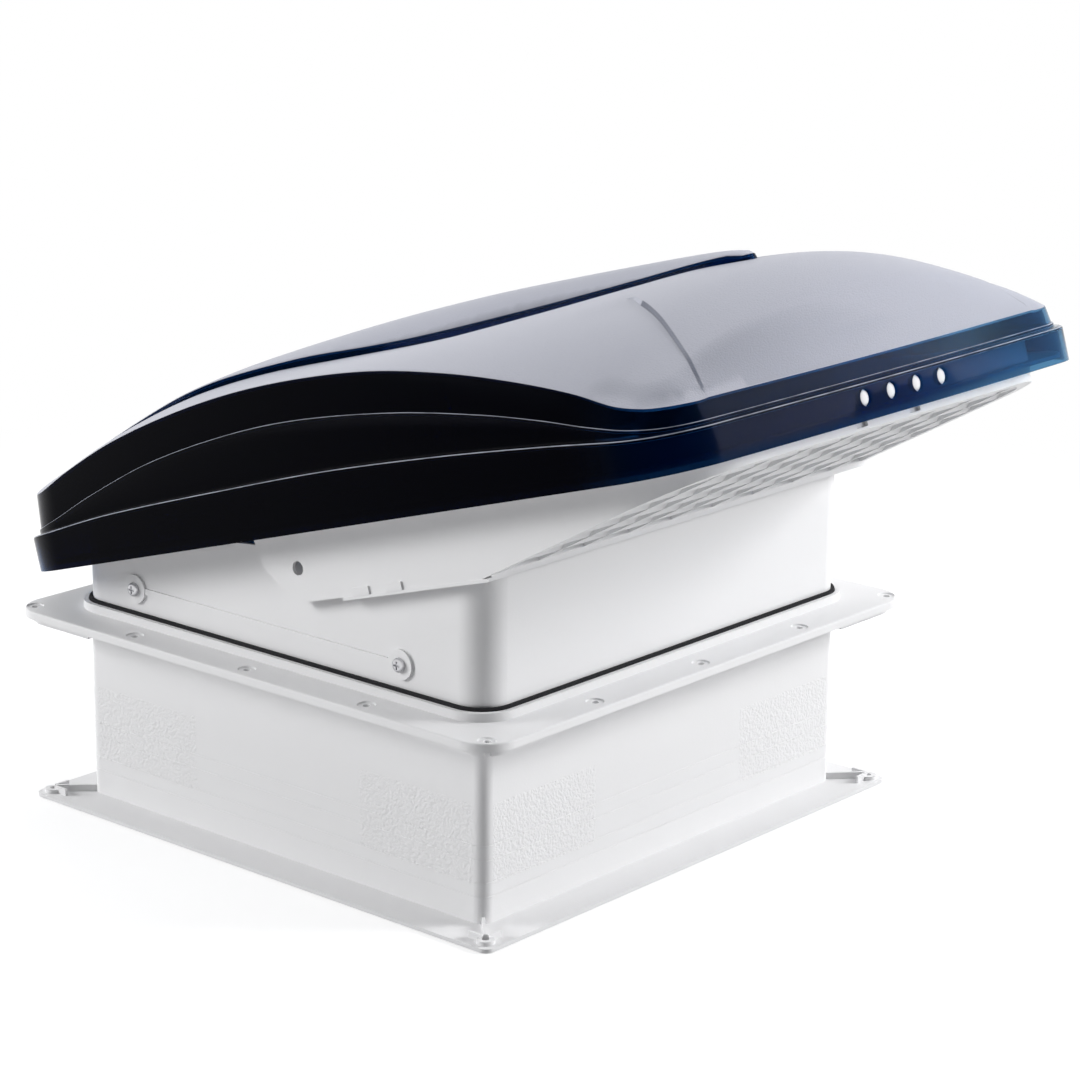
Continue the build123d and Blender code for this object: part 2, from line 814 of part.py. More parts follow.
with BuildPart() as hood:
    add(lid_block(lid_wall + flange_reach_gap, hood_plate_bottom, hood_plate_top))
    add(hood_prism(-lid_rear_reach - through, hood_wall, hood_plate_bottom - through, hood_plate_top + through),
        mode=Mode.SUBTRACT)
    with BuildSketch(lid_plane.offset(hood_plate_bottom - through)):
        with Locations((-lid_rear_reach, 0)):
            Rectangle(2 * hood_frame_rear, lid_width)
    extrude(amount=hood_flange_thickness + 2 * through, mode=Mode.SUBTRACT)
    add(hood_walls.part)
    # Lugs that hang on the hinge pins, and the bridges that carry them
    lug_outer = body_inner - hinge_boss_length - lug_gap
    lug_inner = lug_outer - lug_thickness
    bridge_bottom = edge_above_hinge + bridge_height
    bridge_top = bridge_bottom + bridge_thickness
    leg_outer = hood_half + bridge_thickness
    for side in (-1, 1):
        with BuildSketch(lid_side_plane.offset(-side * lug_inner)):
            Circle(lug_width / 2)
            with Locations((0, bridge_top / 2)):
                Rectangle(lug_width, bridge_top)
        extrude(amount=-side * lug_thickness)
        with BuildSketch(lid_plane.offset(bridge_bottom)):
            with Locations((0, side * (lug_inner + leg_outer) / 2)):
                Rectangle(lug_width, leg_outer - lug_inner)
        extrude(amount=bridge_thickness)
        with BuildSketch(lid_plane.offset(hood_plate_bottom)):
            with Locations((0, side * (leg_outer - bridge_thickness / 2))):
                Rectangle(lug_width, bridge_thickness)
        extrude(amount=bridge_bottom - hood_plate_bottom)
        # Clips that the louvre panel's side strips snap into
        with BuildSketch(lid_side_plane.offset(-side * hood_half)):
            for place in (hood_rear_end + 6 * clip_length, hood_rear_end + 8 * clip_length):
                with Locations((place, hood_bottom + clip_height / 2)):
                    Rectangle(clip_length, clip_height)
        extrude(amount=-side * clip_thickness)
    with BuildSketch(lid_side_plane):
        Circle(pin_diameter / 2 + running)
        with Locations((hood_rear_end + hood_hole_run, edge_above_hinge - hood_hole_drop)):
            Circle(hood_hole_bore / 2)
    extrude(amount=lid_width, both=True, mode=Mode.SUBTRACT)
    with BuildSketch(lid_plane.offset(hood_plate_bottom - through)):
        with Locations(*hood_posts):
            Circle(small_shank / 2)
    extrude(amount=hood_flange_thickness + 2 * through, mode=Mode.SUBTRACT)
    # Two slots in the lip under the lid's end
    lip_plane = Plane(origin=hinge_point, x_dir=(0, 1, 0), z_dir=along_lid).offset(hood_front_end + through)
    with BuildSketch(lip_plane):
        for side in (-1, 1):
            with Locations((side * lip_slot_half_pitch, edge_above_hinge - hood_lip / 2)):
                Rectangle(lip_slot_length, lip_slot_height)
    extrude(amount=-(2 * through), mode=Mode.SUBTRACT)
save(hood, "hood")

# Louvre panel: a sloping frame of slats and ribs inside the hood's front
slope_run = hood_front_end - hood_slope_end
slope_rise = hood_lip_bottom - hood_bottom
slope_angle = degrees(atan2(slope_rise, slope_run))
slope_length = sqrt(slope_run**2 + slope_rise**2)
along_slope = (cos(tilt + radians(slope_angle)), 0, sin(tilt + radians(slope_angle)))
slope_start = lid_side_plane.from_local_coords((hood_slope_end, hood_bottom, 0))
slope_plane = Plane(origin=slope_start, x_dir=along_slope, z_dir=(0, -1, 0))
panel_inset = hood_wall + slip
with BuildPart() as louvre_border:
    add(hood_prism(hood_slope_end, panel_inset, hood_bottom - through, hood_wall_top))
    add(hood_prism(hood_slope_end + louvre_frame_width, panel_inset + louvre_frame_width,
                   hood_bottom - 2 * through, hood_wall_top + through), mode=Mode.SUBTRACT)
    with BuildSketch(slope_plane):
        with Locations((slope_length / 2, louvre_frame_depth / 2)):
            Rectangle(2 * slope_length, louvre_frame_depth)
    extrude(amount=hood_half, both=True, mode=Mode.INTERSECT)

with BuildPart() as louvre_blades:
    slat_pitch = slope_length / slat_count
    with BuildSketch(slope_plane):
        for number in range(slat_count):
            place = ((number + 1 / 2) * slat_pitch, louvre_rib_depth / 2)
            with Locations(Location(place, slat_tilt)):
                Rectangle(slat_chord, slat_thickness)
    extrude(amount=hood_half, both=True)
    rib_pitch = 2 * (hood_half - panel_inset) / (louvre_rib_count + 1)
    for number in range(louvre_rib_count):
        rib_place = -(hood_half - panel_inset) + (number + 1) * rib_pitch
        with BuildSketch(slope_plane.offset(-rib_place - louvre_rib_thickness / 2)):
            with Locations((slope_length / 2, louvre_rib_depth / 2)):
                Rectangle(slope_length, louvre_rib_depth)
        extrude(amount=louvre_rib_thickness)
    add(hood_prism(hood_slope_end, panel_inset, hood_bottom - through, hood_wall_top), mode=Mode.INTERSECT)

with BuildPart() as louvre_panel:
    add(louvre_border.part)
    add(louvre_blades.part)
    # Band across the front of the body, and the strips under the hood's sides
    with BuildSketch(lid_side_plane):
        with Locations((hood_slope_end - band_lead + band_width / 2, hood_bottom - strip_drop + band_height / 2)):
            Rectangle(band_width, band_height)
    extrude(amount=hood_half - panel_inset, both=True)
    strip_start = hood_rear_end + hood_rear_lean + hood_chamfer_run + 3 * clip_length
    strip_end = hood_slope_end - band_lead + band_width
    with BuildSketch(lid_plane.offset(hood_bottom - strip_drop)):
        for side in (-1, 1):
            with Locations(((strip_start + strip_end) / 2, side * (strip_inner + strip_outer) / 2)):
                Rectangle(strip_end - strip_start, strip_outer - strip_inner)
    extrude(amount=strip_drop)
save(louvre_panel, "louvre_panel")

# Screws that hold the hood to the lid, and the rails to the lid
below_lid = tuple(-value for value in above_lid)
hood_screw_planes = []
for along, side in hood_posts:
    seat = lid_plane.from_local_coords((along, side, hood_plate_bottom))
    hood_screw_planes.append(Plane(origin=seat, x_dir=along_lid, z_dir=below_lid))
hood_screw_length = hood_flange_thickness + lid_post_diameter - slip
hood_screws = pan_screws(
    hood_screw_planes, small_head_diameter, small_head_height, small_shank, hood_screw_length
)
save(hood_screws, "hood_screws")
rail_screw_planes = []
for along, side in rail_posts:
    seat = lid_plane.from_local_coords((along, side, rail_top - rail_foot_thickness))
    rail_screw_planes.append(Plane(origin=seat, x_dir=along_lid, z_dir=below_lid))
rail_screw_length = rail_foot_thickness + lid_post_diameter / 2 - slip
rail_screws = pan_screws(
    rail_screw_planes, small_head_diameter, small_head_height, small_shank, rail_screw_length
)
save(rail_screws, "rail_screws")

# Slotted rails under the lid, where the lift arms' rollers run
slot_height = roller_diameter + 2 * roller_play
rail_bottom = rail_height - rail_below
for side, name in ((-1, "left_rail"), (1, "right_rail")):
    with BuildPart() as rail:
        with BuildSketch(lid_side_plane.offset(-side * (rail_side - rail_plate / 2))):
            with Locations((rail_middle, (rail_bottom + rail_top) / 2)):
                Rectangle(rail_length, rail_top - rail_bottom)
            with Locations((rail_middle, rail_height)):
                SlotCenterToCenter(roller_travel, slot_height, mode=Mode.SUBTRACT)
        extrude(amount=-side * rail_plate)
        with BuildSketch(lid_plane.offset(rail_top - rail_foot_thickness)):
            with Locations((rail_middle, side * (rail_side + rail_foot / 2))):
                Rectangle(rail_length, rail_foot)
        extrude(amount=rail_foot_thickness)
        with BuildSketch(lid_plane.offset(rail_top - rail_foot_thickness - through)):
            with Locations(*rail_posts):
                Circle(small_shank / 2)
        extrude(amount=rail_foot_thickness + 2 * through, mode=Mode.SUBTRACT)
    save(rail, name)

# Lift shaft across the body, its arms, their pins and rollers
arm_turn = radians(arm_open_angle)
arm_tip = (shaft_x + arm_length * cos(arm_turn), shaft_z + arm_length * sin(arm_turn))
shaft_end = block_inner + block_width / 4
with BuildPart() as lift_shaft:
    with BuildSketch(Plane.XZ):
        with Locations((shaft_x, shaft_z)):
            Circle(shaft_diameter / 2)
    extrude(amount=shaft_end, both=True)
save(lift_shaft, "lift_shaft")
for side, name in ((-1, "left_arm"), (1, "right_arm")):
    with BuildPart() as arm:
        with BuildSketch(Plane.XZ.offset(-side * (arm_side - arm_thickness / 2))):
            with Locations((shaft_x, shaft_z)):
                Circle(arm_hub_diameter / 2)
            with Locations(arm_tip):
                Circle(arm_tip_diameter / 2)
            arm_middle = ((shaft_x + arm_tip[0]) / 2, (shaft_z + arm_tip[1]) / 2)
            with Locations(Location(arm_middle, arm_open_angle)):
                Rectangle(arm_length, arm_tip_diameter - tooth_height)
            with Locations((shaft_x, shaft_z)):
                Circle(shaft_diameter / 2, mode=Mode.SUBTRACT)
            with Locations(arm_tip):
                Circle(roller_pin / 2, mode=Mode.SUBTRACT)
        extrude(amount=-side * arm_thickness)
    save(arm, name)
with BuildPart() as arm_pins:
    pin_start = arm_side - arm_thickness / 2
    roller_start = arm_side + arm_thickness / 2 + slip
    pin_head_start = roller_start + roller_width + slip
    for side in (-1, 1):
        with BuildSketch(Plane.XZ.offset(-side * pin_start)):
            with Locations(arm_tip):
                Circle(roller_pin / 2)
        extrude(amount=-side * (pin_head_start - pin_start))
        with BuildSketch(Plane.XZ.offset(-side * pin_head_start)):
            with Locations(arm_tip):
                Circle(roller_pin / 2 + tooth_gap)
        extrude(amount=-side * tooth_gap)
save(arm_pins, "arm_pins")
for side, name in ((-1, "left_roller"), (1, "right_roller")):
    with BuildPart() as roller:
        with BuildSketch(Plane.XZ.offset(-side * roller_start)):
            with Locations(arm_tip):
                Circle(roller_diameter / 2)
                Circle(roller_pin / 2 + running, mode=Mode.SUBTRACT)
        extrude(amount=-side * roller_width)
        fillet(roller.edges().filter_by(GeomType.CIRCLE).sort_by(SortBy.RADIUS)[-2:], slip)
    save(roller, name)

# Bearing blocks on the body's sides, for the ends of the lift shaft
with BuildPart() as shaft_blocks:
    for side in (-1, 1):
        with BuildSketch(Plane.XZ.offset(-side * block_inner)):
            with Locations((shaft_x, shaft_z)):
                Rectangle(block_width, block_height)
                Circle(shaft_diameter / 2 + running, mode=Mode.SUBTRACT)
        extrude(amount=-side * (body_inner - block_inner))
save(shaft_blocks, "shaft_blocks")

# Worm wheel on the lift shaft
with BuildPart() as worm_wheel:
    with BuildSketch(Plane.XZ.offset(-(wheel_side + wheel_width / 2))):
        with Locations((shaft_x, shaft_z)):
            Circle(wheel_radius)
            Circle(shaft_diameter / 2, mode=Mode.SUBTRACT)
            with PolarLocations(wheel_radius, wheel_teeth):
                Rectangle(2 * tooth_height, tooth_gap, mode=Mode.SUBTRACT)
    extrude(amount=wheel_width)
save(worm_wheel, "worm_wheel")

# Crank shaft with the worm on it, and the bracket that carries it
worm_radius = worm_distance - wheel_radius - slip
worm_bottom = shaft_z - worm_length / 2
with BuildPart() as worm_shaft:
    with BuildSketch(Plane.XY.offset(knob_bottom + knob_height / 2)):
        with Locations((crank_x, wheel_side)):
            Circle(crank_diameter / 2)
    extrude(amount=bracket_top + shelf_thickness - knob_bottom - knob_height / 2)
    with BuildSketch(Plane.XY.offset(worm_bottom)):
        with Locations((crank_x, wheel_side)):
            Circle(worm_radius)
    extrude(amount=worm_length)
    worm_pitch = worm_length / (worm_groove_count + 1)
    for number in range(worm_groove_count):
        groove_height = worm_bottom + (number + 1) * worm_pitch - worm_groove / 2
        with BuildSketch(Plane.XY.offset(groove_height)):
            with Locations((crank_x, wheel_side)):
                Circle(worm_radius + through)
                Circle(worm_radius - tooth_height, mode=Mode.SUBTRACT)
        extrude(amount=worm_groove, mode=Mode.SUBTRACT)
save(worm_shaft, "worm_shaft")
with BuildPart() as worm_bracket:
    bracket_bottom = duct_top + slip
    shelf_inner = wheel_side - bracket_half_width
    with BuildSketch(Plane.XY.offset(bracket_bottom)):
        with Locations((crank_x, body_inner - bracket_plate / 2)):
            Rectangle(2 * bracket_half_width, bracket_plate)
    extrude(amount=bracket_top - bracket_bottom)
    for shelf_bottom in (bracket_bottom, bracket_top - shelf_thickness):
        with BuildSketch(Plane.XY.offset(shelf_bottom)):
            with Locations((crank_x, (shelf_inner + body_inner) / 2)):
                Rectangle(2 * bracket_half_width, body_inner - shelf_inner)
            with Locations((crank_x, wheel_side)):
                Circle(crank_diameter / 2 + running, mode=Mode.SUBTRACT)
        extrude(amount=shelf_thickness)
save(worm_bracket, "worm_bracket")
with BuildPart() as lift_knob:
    with BuildSketch(Plane.XY.offset(knob_bottom)):
        with Locations((crank_x, wheel_side)):
            Circle(knob_diameter / 2)
            with PolarLocations(knob_diameter / 2, knob_flute_count):
                Circle(knob_flute / 2, mode=Mode.SUBTRACT)
    extrude(amount=knob_height)
    with BuildSketch(Plane.XY.offset(knob_bottom + knob_height)):
        with Locations((crank_x, wheel_side)):
            Circle(knob_hub_diameter / 2)
    extrude(amount=knob_hub_height)
    with BuildSketch(Plane.XY.offset(knob_bottom + knob_height / 2)):
        with Locations((crank_x, wheel_side)):
            Circle(crank_diameter / 2)
    extrude(amount=knob_height + knob_hub_height + through, mode=Mode.SUBTRACT)
save(lift_knob, "lift_knob")

# Fan shroud: a square plate on the duct's ledge, with a ring round the fan
with BuildPart() as fan_shroud:
    with BuildSketch(Plane.XY.offset(ledge_top)):
        RectangleRounded(2 * shroud_half, 2 * shroud_half, shroud_corner)
    extrude(amount=shroud_plate)
    with BuildSketch(Plane.XY.offset(ledge_top)):
        Circle(shroud_outer)
    extrude(amount=shroud_top - ledge_top)
    with BuildSketch(Plane.XY.offset(ledge_top - through)):
        Circle(shroud_inner)
        with Locations((crank_x, wheel_side)):
            Circle(crank_diameter / 2 + slip)
        with Locations(*corners(spider_screw_place)):
            Circle(small_shank / 2)
        with GridLocations(2 * shroud_screw_x, 2 * shroud_screw_y, 2, 2):
            Circle(small_shank / 2)
    extrude(amount=shroud_top - ledge_top + 2 * through, mode=Mode.SUBTRACT)
save(fan_shroud, "fan_shroud")
shroud_screw_planes = []
for x_sign, y_sign in corners(1):
    seat = (x_sign * shroud_screw_x, y_sign * shroud_screw_y, ledge_top + shroud_plate)
    shroud_screw_planes.append(Plane(origin=seat))
shroud_screws = pan_screws(
    shroud_screw_planes, small_head_diameter, small_head_height, small_shank, shroud_plate + ledge_thickness
)
save(shroud_screws, "shroud_screws")

# Spider that holds the motor under the fan
with BuildPart() as motor_spider:
    with BuildSketch(Plane.XY.offset(spider_top - spider_arm_height)):
        for number in range(2):
            with Locations(Location((0, 0), 45 + 90 * number)):
                Rectangle(2 * (spider_screw_place * sqrt(2) + spider_arm_height), spider_arm_width)
    extrude(amount=spider_arm_height)
    with BuildSketch(Plane.XY.offset(spider_top - spider_ring_height)):
        Circle(spider_ring_outer)
    extrude(amount=spider_ring_height)
    with BuildSketch(Plane.XY.offset(spider_top - spider_ring_height - through)):
        Circle(motor_radius)
        with Locations(*corners(spider_screw_place)):
            Circle(small_shank / 2)
    extrude(amount=spider_ring_height + 2 * through, mode=Mode.SUBTRACT)
save(motor_spider, "motor_spider")
spider_screw_planes = []
for x, y in corners(spider_screw_place):
    seat = (x, y, spider_top - spider_arm_height)
    spider_screw_planes.append(Plane(origin=seat, x_dir=(1, 0, 0), z_dir=(0, 0, -1)))
spider_screws = pan_screws(
    spider_screw_planes, small_head_diameter, small_head_height, small_shank, spider_arm_height + shroud_plate
)
save(spider_screws, "spider_screws")

# Motor, its shaft, the fan and the nut that holds it
with BuildPart() as fan_motor:
    with BuildSketch(Plane.XY.offset(spider_top - motor_height)):
        Circle(motor_radius)
    extrude(amount=motor_height)
    fillet(fan_motor.edges().group_by(Axis.Z)[0], spider_arm_height / 2)
    with BuildSketch(Plane.XY.offset(spider_top - motor_bore_depth)):
        Circle(motor_shaft_diameter / 2 + running)
    extrude(amount=motor_bore_depth + through, mode=Mode.SUBTRACT)
save(fan_motor, "fan_motor")
with BuildPart() as motor_shaft:
    shaft_bottom = spider_top - motor_bore_depth + slip
    with BuildSketch(Plane.XY.offset(shaft_bottom)):
        Circle(motor_shaft_diameter / 2)
    extrude(amount=motor_shaft_top - shaft_bottom)
save(motor_shaft, "motor_shaft")
hub_top = hub_bottom + hub_height
with BuildPart() as fan_rotor:
    with BuildSketch(Plane.XY.offset(hub_bottom)):
        Circle(hub_radius)
    extrude(amount=hub_height)
    fillet(fan_rotor.edges().group_by(Axis.Z)[-1], 2 * hub_wall)
    with BuildSketch(Plane.XY.offset(hub_bottom - through)):
        Circle(hub_radius - hub_wall)
    extrude(amount=hub_height + through - hub_wall, mode=Mode.SUBTRACT)
    with BuildSketch(Plane.XY.offset(hub_bottom)):
        Circle(motor_shaft_diameter / 2 + hub_wall)
    extrude(amount=hub_height)
    blade_middle = hub_bottom + hub_height / 2
    blade_root = hub_radius - hub_wall / 2
    for number in range(blade_count):
        turn = radians(360 * number / blade_count)
        outward = (cos(turn), sin(turn), 0)
        for reach, chord, pitch in (
            (blade_root, blade_root_chord, radians(blade_root_pitch)),
            (fan_radius, blade_tip_chord, radians(blade_tip_pitch)),
        ):
            middle = (reach * cos(turn), reach * sin(turn), blade_middle)
            chord_way = (-sin(turn) * cos(pitch), cos(turn) * cos(pitch), sin(pitch))
            with BuildSketch(Plane(origin=middle, x_dir=chord_way, z_dir=outward)):
                Rectangle(chord, blade_thickness)
        loft(ruled=True)
    with BuildSketch(Plane.XY.offset(hub_bottom - through)):
        Circle(motor_shaft_diameter / 2)
    extrude(amount=hub_height + 2 * through, mode=Mode.SUBTRACT)
    # Trim the blades' corners to the circle that the fan turns in
    with BuildSketch(Plane.XY.offset(hub_bottom - through)):
        Circle(2 * fan_radius)
        Circle(fan_radius, mode=Mode.SUBTRACT)
    extrude(amount=hub_height + 2 * through, mode=Mode.SUBTRACT)
save(fan_rotor, "fan_rotor")
with BuildPart() as fan_nut:
    with BuildSketch(Plane.XY.offset(hub_top)):
        RegularPolygon(nut_across / 2, 6, major_radius=False)
        Circle(motor_shaft_diameter / 2, mode=Mode.SUBTRACT)
    extrude(amount=nut_height)
save(fan_nut, "fan_nut")

# Screen frame, its mesh and the four quarter-turn knobs
screen_half = skirt_inner - screen_gap
screen_back = screen_half - fascia_depth - screen_gap
screen_middle = (screen_back - screen_half) / 2
screen_depth = screen_back + screen_half
knob_line = screen_half - screen_knob_inset
screen_knobs = [(-knob_line, screen_knob_front), (knob_line, screen_knob_front),
                (knob_line, screen_knob_back), (-knob_line, screen_knob_back)]
with BuildPart() as screen_frame:
    with BuildSketch(Plane.XY.offset(screen_bottom)):
        with Locations((0, screen_middle)):
            RectangleRounded(2 * screen_half, screen_depth, fascia_corner)
            Rectangle(2 * (screen_half - screen_border), screen_depth - 2 * screen_border, mode=Mode.SUBTRACT)
        with Locations(*screen_knobs):
            Circle(screen_knob_stem / 2 + running, mode=Mode.SUBTRACT)
    extrude(amount=screen_height)
save(screen_frame, "screen_frame")
with BuildPart() as insect_mesh:
    with BuildSketch(Plane.XY.offset(screen_bottom + screen_height / 2)):
        with Locations((0, screen_middle)):
            Rectangle(2 * (screen_half - screen_border), screen_depth - 2 * screen_border)
    extrude(amount=mesh_thickness)
save(insect_mesh, "insect_mesh")
tongue_bottom = screen_top + slip + stop_height + slip
tongue_outer = screen_knob_inset - slip
for number, (x, y) in enumerate(screen_knobs):
    with BuildPart() as screen_knob:
        with BuildSketch(Plane.XY.offset(screen_knob_bottom)):
            with Locations((x, y)):
                Circle(screen_knob_diameter / 2)
        extrude(amount=screen_bottom - slip - screen_knob_bottom)
        with BuildSketch(Plane.XY.offset(screen_bottom - slip)):
            with Locations((x, y)):
                Circle(screen_knob_stem / 2)
        extrude(amount=tongue_bottom - screen_bottom + slip)
        with BuildSketch(Plane.XY.offset(tongue_bottom)):
            outward = 1 if x > 0 else -1
            with Locations((x + outward * (tongue_outer - tongue_length / 2), y)):
                Rectangle(tongue_length, tongue_width)
        extrude(amount=tongue_height)
    save(screen_knob, "screen_knob_" + str(number + 1))

# Fascia beside the screen, with holes for the buttons, window, knob and sensor
fascia_middle = screen_half - fascia_depth / 2
button_places = []
for row in (-1, 1):
    for column in range(button_columns):
        column_shift = (column - (button_columns - 1) / 2) * button_pitch
        button_places.append((button_middle + column_shift, house_side + row * button_row_pitch / 2))
pillar_x = board_length / 2 - pillar_inset
pillar_y = board_width / 2 - pillar_inset
pillars = [(house_middle + x * pillar_x, house_side + y * pillar_y) for x, y in corners(1)]
with BuildPart() as control_fascia:
    with BuildSketch(Plane.XY.offset(screen_bottom)):
        with Locations((0, fascia_middle)):
            RectangleRounded(2 * screen_half, fascia_depth, fascia_corner)
        with Locations(*button_places):
            Circle(button_diameter / 2 + slip, mode=Mode.SUBTRACT)
        with Locations((window_place, house_side)):
            Rectangle(window_length, window_width, mode=Mode.SUBTRACT)
        with Locations((crank_x, wheel_side)):
            Circle(knob_diameter / 2 + knob_hole_gap, mode=Mode.SUBTRACT)
        with Locations((sensor_place, house_side)):
            Circle(sensor_diameter / 2, mode=Mode.SUBTRACT)
        with Locations(*fascia_bosses):
            Circle(small_shank / 2, mode=Mode.SUBTRACT)
    extrude(amount=fascia_thickness)
    with BuildSketch(Plane.XY.offset(fascia_top)):
        with Locations(*pillars):
            Circle(pillar_diameter / 2)
    extrude(amount=board_bottom - fascia_top)
save(control_fascia, "control_fascia")
fascia_screw_planes = []
for x, y in fascia_bosses:
    fascia_screw_planes.append(Plane(origin=(x, y, screen_bottom), x_dir=(1, 0, 0), z_dir=(0, 0, -1)))
fascia_head_height = screen_bottom - slip
fascia_screw_length = fascia_thickness + fascia_boss_height
fascia_screws = pan_screws(
    fascia_screw_planes, small_head_diameter, fascia_head_height, small_shank, fascia_screw_length
)
save(fascia_screws, "fascia_screws")
with BuildPart() as control_house:
    with BuildSketch(Plane.XY.offset(fascia_top)):
        with Locations((house_middle, house_side)):
            RectangleRounded(house_length, house_width, fascia_corner)
    extrude(amount=house_height)
    with BuildSketch(Plane.XY.offset(fascia_top - through)):
        with Locations((house_middle, house_side)):
            Rectangle(house_length - 2 * house_wall, house_width - 2 * house_wall)
    extrude(amount=through + house_height - house_wall, mode=Mode.SUBTRACT)
save(control_house, "control_house")
with BuildPart() as display_window:
    with BuildSketch(Plane.XY.offset(screen_bottom)):
        with Locations((window_place, house_side)):
            Rectangle(window_length, window_width)
    extrude(amount=fascia_thickness)
save(display_window, "display_window")
with BuildPart() as circuit_board:
    with BuildSketch(Plane.XY.offset(board_bottom)):
        with Locations((house_middle, house_side)):
            Rectangle(board_length, board_width)
    extrude(amount=board_thickness)
save(circuit_board, "circuit_board")
button_rim_bottom = fascia_top + slip
button_rim_top = button_rim_bottom + button_rim_height
for number, place in enumerate(button_places):
    with BuildPart() as button:
        with BuildSketch(Plane.XY.offset(button_bottom)):
            with Locations(place):
                Circle(button_diameter / 2)
        extrude(amount=button_rim_top - button_bottom)
        fillet(button.edges().group_by(Axis.Z)[0], button_travel)
        with BuildSketch(Plane.XY.offset(button_rim_bottom)):
            with Locations(place):
                Circle(button_rim / 2)
        extrude(amount=button_rim_height)
    save(button, "button_" + str(number + 1))
with BuildPart() as key_switches:
    with BuildSketch(Plane.XY.offset(button_rim_top + switch_gap)):
        with Locations(*button_places):
            Rectangle(switch_size, switch_size)
    extrude(amount=board_bottom - button_rim_top - switch_gap)
save(key_switches, "key_switches")
with BuildPart() as thermostat_sensor:
    with BuildSketch(Plane.XY.offset(sensor_bottom)):
        with Locations((sensor_place, house_side)):
            Circle(sensor_diameter / 2)
    extrude(amount=sensor_length)
    fillet(thermostat_sensor.edges().group_by(Axis.Z)[0], sensor_diameter / 3)
save(thermostat_sensor, "thermostat_sensor")

# Square gland where the slots of the skirt and the duct cross, for the power lead
with BuildPart() as cable_gland:
    with BuildSketch(Plane.YZ.offset(-skirt_half - gland_flange)):
        with Locations((gland_place, gland_height)):
            Rectangle(gland_flange_side, gland_flange_side)
    extrude(amount=gland_flange)
    with BuildSketch(Plane.YZ.offset(-skirt_half)):
        with Locations((gland_place, gland_height)):
            Rectangle(gland_side, gland_side)
    extrude(amount=gland_length)
    with BuildSketch(Plane.YZ.offset(-skirt_half - gland_flange - through)):
        with Locations((gland_place, gland_height)):
            Circle(gland_bore / 2)
    extrude(amount=gland_flange + gland_length + 2 * through, mode=Mode.SUBTRACT)
save(cable_gland, "cable_gland")
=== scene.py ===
# %% [markdown]
# # A caravan roof vent
#
# The vent is a square duct that goes through a roof. White moulded plastic
# makes the duct, its flanges and the box on top. A lid of dark blue, see-through
# plastic is propped open over the box. The shapes and sizes of the hard pieces
# come from a CAD model, which is loaded first and stays where it is. This file
# gives those pieces their finishes and remodels the lid, whose surface has to be
# smoother than the triangles of the CAD model allow.

# %% Load the CAD model
from bisect import bisect_right
import json
import math

import bmesh
import bpy
from mathutils import Matrix, Vector
from mathutils.geometry import delaunay_2d_cdt


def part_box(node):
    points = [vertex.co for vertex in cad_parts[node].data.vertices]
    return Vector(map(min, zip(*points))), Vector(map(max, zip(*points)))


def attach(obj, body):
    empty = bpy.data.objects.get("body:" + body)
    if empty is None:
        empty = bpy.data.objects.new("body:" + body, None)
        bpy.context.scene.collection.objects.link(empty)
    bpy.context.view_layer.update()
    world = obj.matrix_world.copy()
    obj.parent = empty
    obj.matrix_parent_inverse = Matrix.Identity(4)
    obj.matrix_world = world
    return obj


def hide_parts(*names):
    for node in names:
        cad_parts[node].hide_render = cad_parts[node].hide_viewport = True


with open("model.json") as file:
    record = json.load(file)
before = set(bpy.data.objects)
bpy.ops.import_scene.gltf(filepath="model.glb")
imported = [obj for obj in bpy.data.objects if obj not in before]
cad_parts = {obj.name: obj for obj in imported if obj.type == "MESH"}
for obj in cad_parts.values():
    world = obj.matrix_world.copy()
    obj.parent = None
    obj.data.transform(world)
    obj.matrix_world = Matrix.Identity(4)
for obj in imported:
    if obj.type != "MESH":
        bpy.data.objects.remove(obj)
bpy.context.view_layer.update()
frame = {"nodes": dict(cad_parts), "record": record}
nodes = frame["nodes"]

# %% [markdown]
# ## The camera
#
# The photograph was taken with a long lens from well away, from a little above
# the lid. The place, the direction and the focal length were worked out from the
# corners and screw holes of the two flanges. A long lens keeps the far corners
# nearly as large as the near ones, so the lens matters as much as the place.

# %% Camera
camera_place = Vector((1.37846, -1.51313, 0.74662))
yaw, pitch, roll = math.radians(49.05), math.radians(15.66), math.radians(0.46)
look = Vector((-math.cos(yaw) * math.cos(pitch), math.sin(yaw) * math.cos(pitch), -math.sin(pitch)))
level_right = Vector((math.sin(yaw), math.cos(yaw), 0))
level_up = level_right.cross(look)
right = math.cos(roll) * level_right + math.sin(roll) * level_up
up = -math.sin(roll) * level_right + math.cos(roll) * level_up

camera_data = bpy.data.cameras.new("camera")
camera_data.sensor_width = 36
camera_data.lens = 108.03
camera_data.clip_start = 0.05
camera_data.clip_end = 60
camera = bpy.data.objects.new("camera", camera_data)
bpy.context.scene.collection.objects.link(camera)
turn = Matrix((right, up, -look)).transposed()
camera.matrix_world = Matrix.Translation(camera_place) @ turn.to_4x4()
bpy.context.scene.camera = camera
print("camera", tuple(camera_place))

# %% [markdown]
# ## Floor, world and lamps
#
# The photograph has a white background. Making it white with more light would
# burn out the white plastic, so the light stays at a plain level. The floor and
# the world show white to the camera, and to reflections and see-through plastic,
# through the Light Path node. Near the vent the floor still shows its shadow.
#
# The light and every finish is a small tree of shader nodes. A few helpers add one
# node each, so that a tree reads as a list of steps.
#
# The two large lamps stand far round to the left and to the right. Each lights one
# side of the box, and the rounded corner between the two sides gets little from
# either, which gives the soft dark band that runs down that corner. The room is
# darker on that side too, as it is behind a photographer. The lamps are kept out of
# reflections, as a photographer does by screening them.


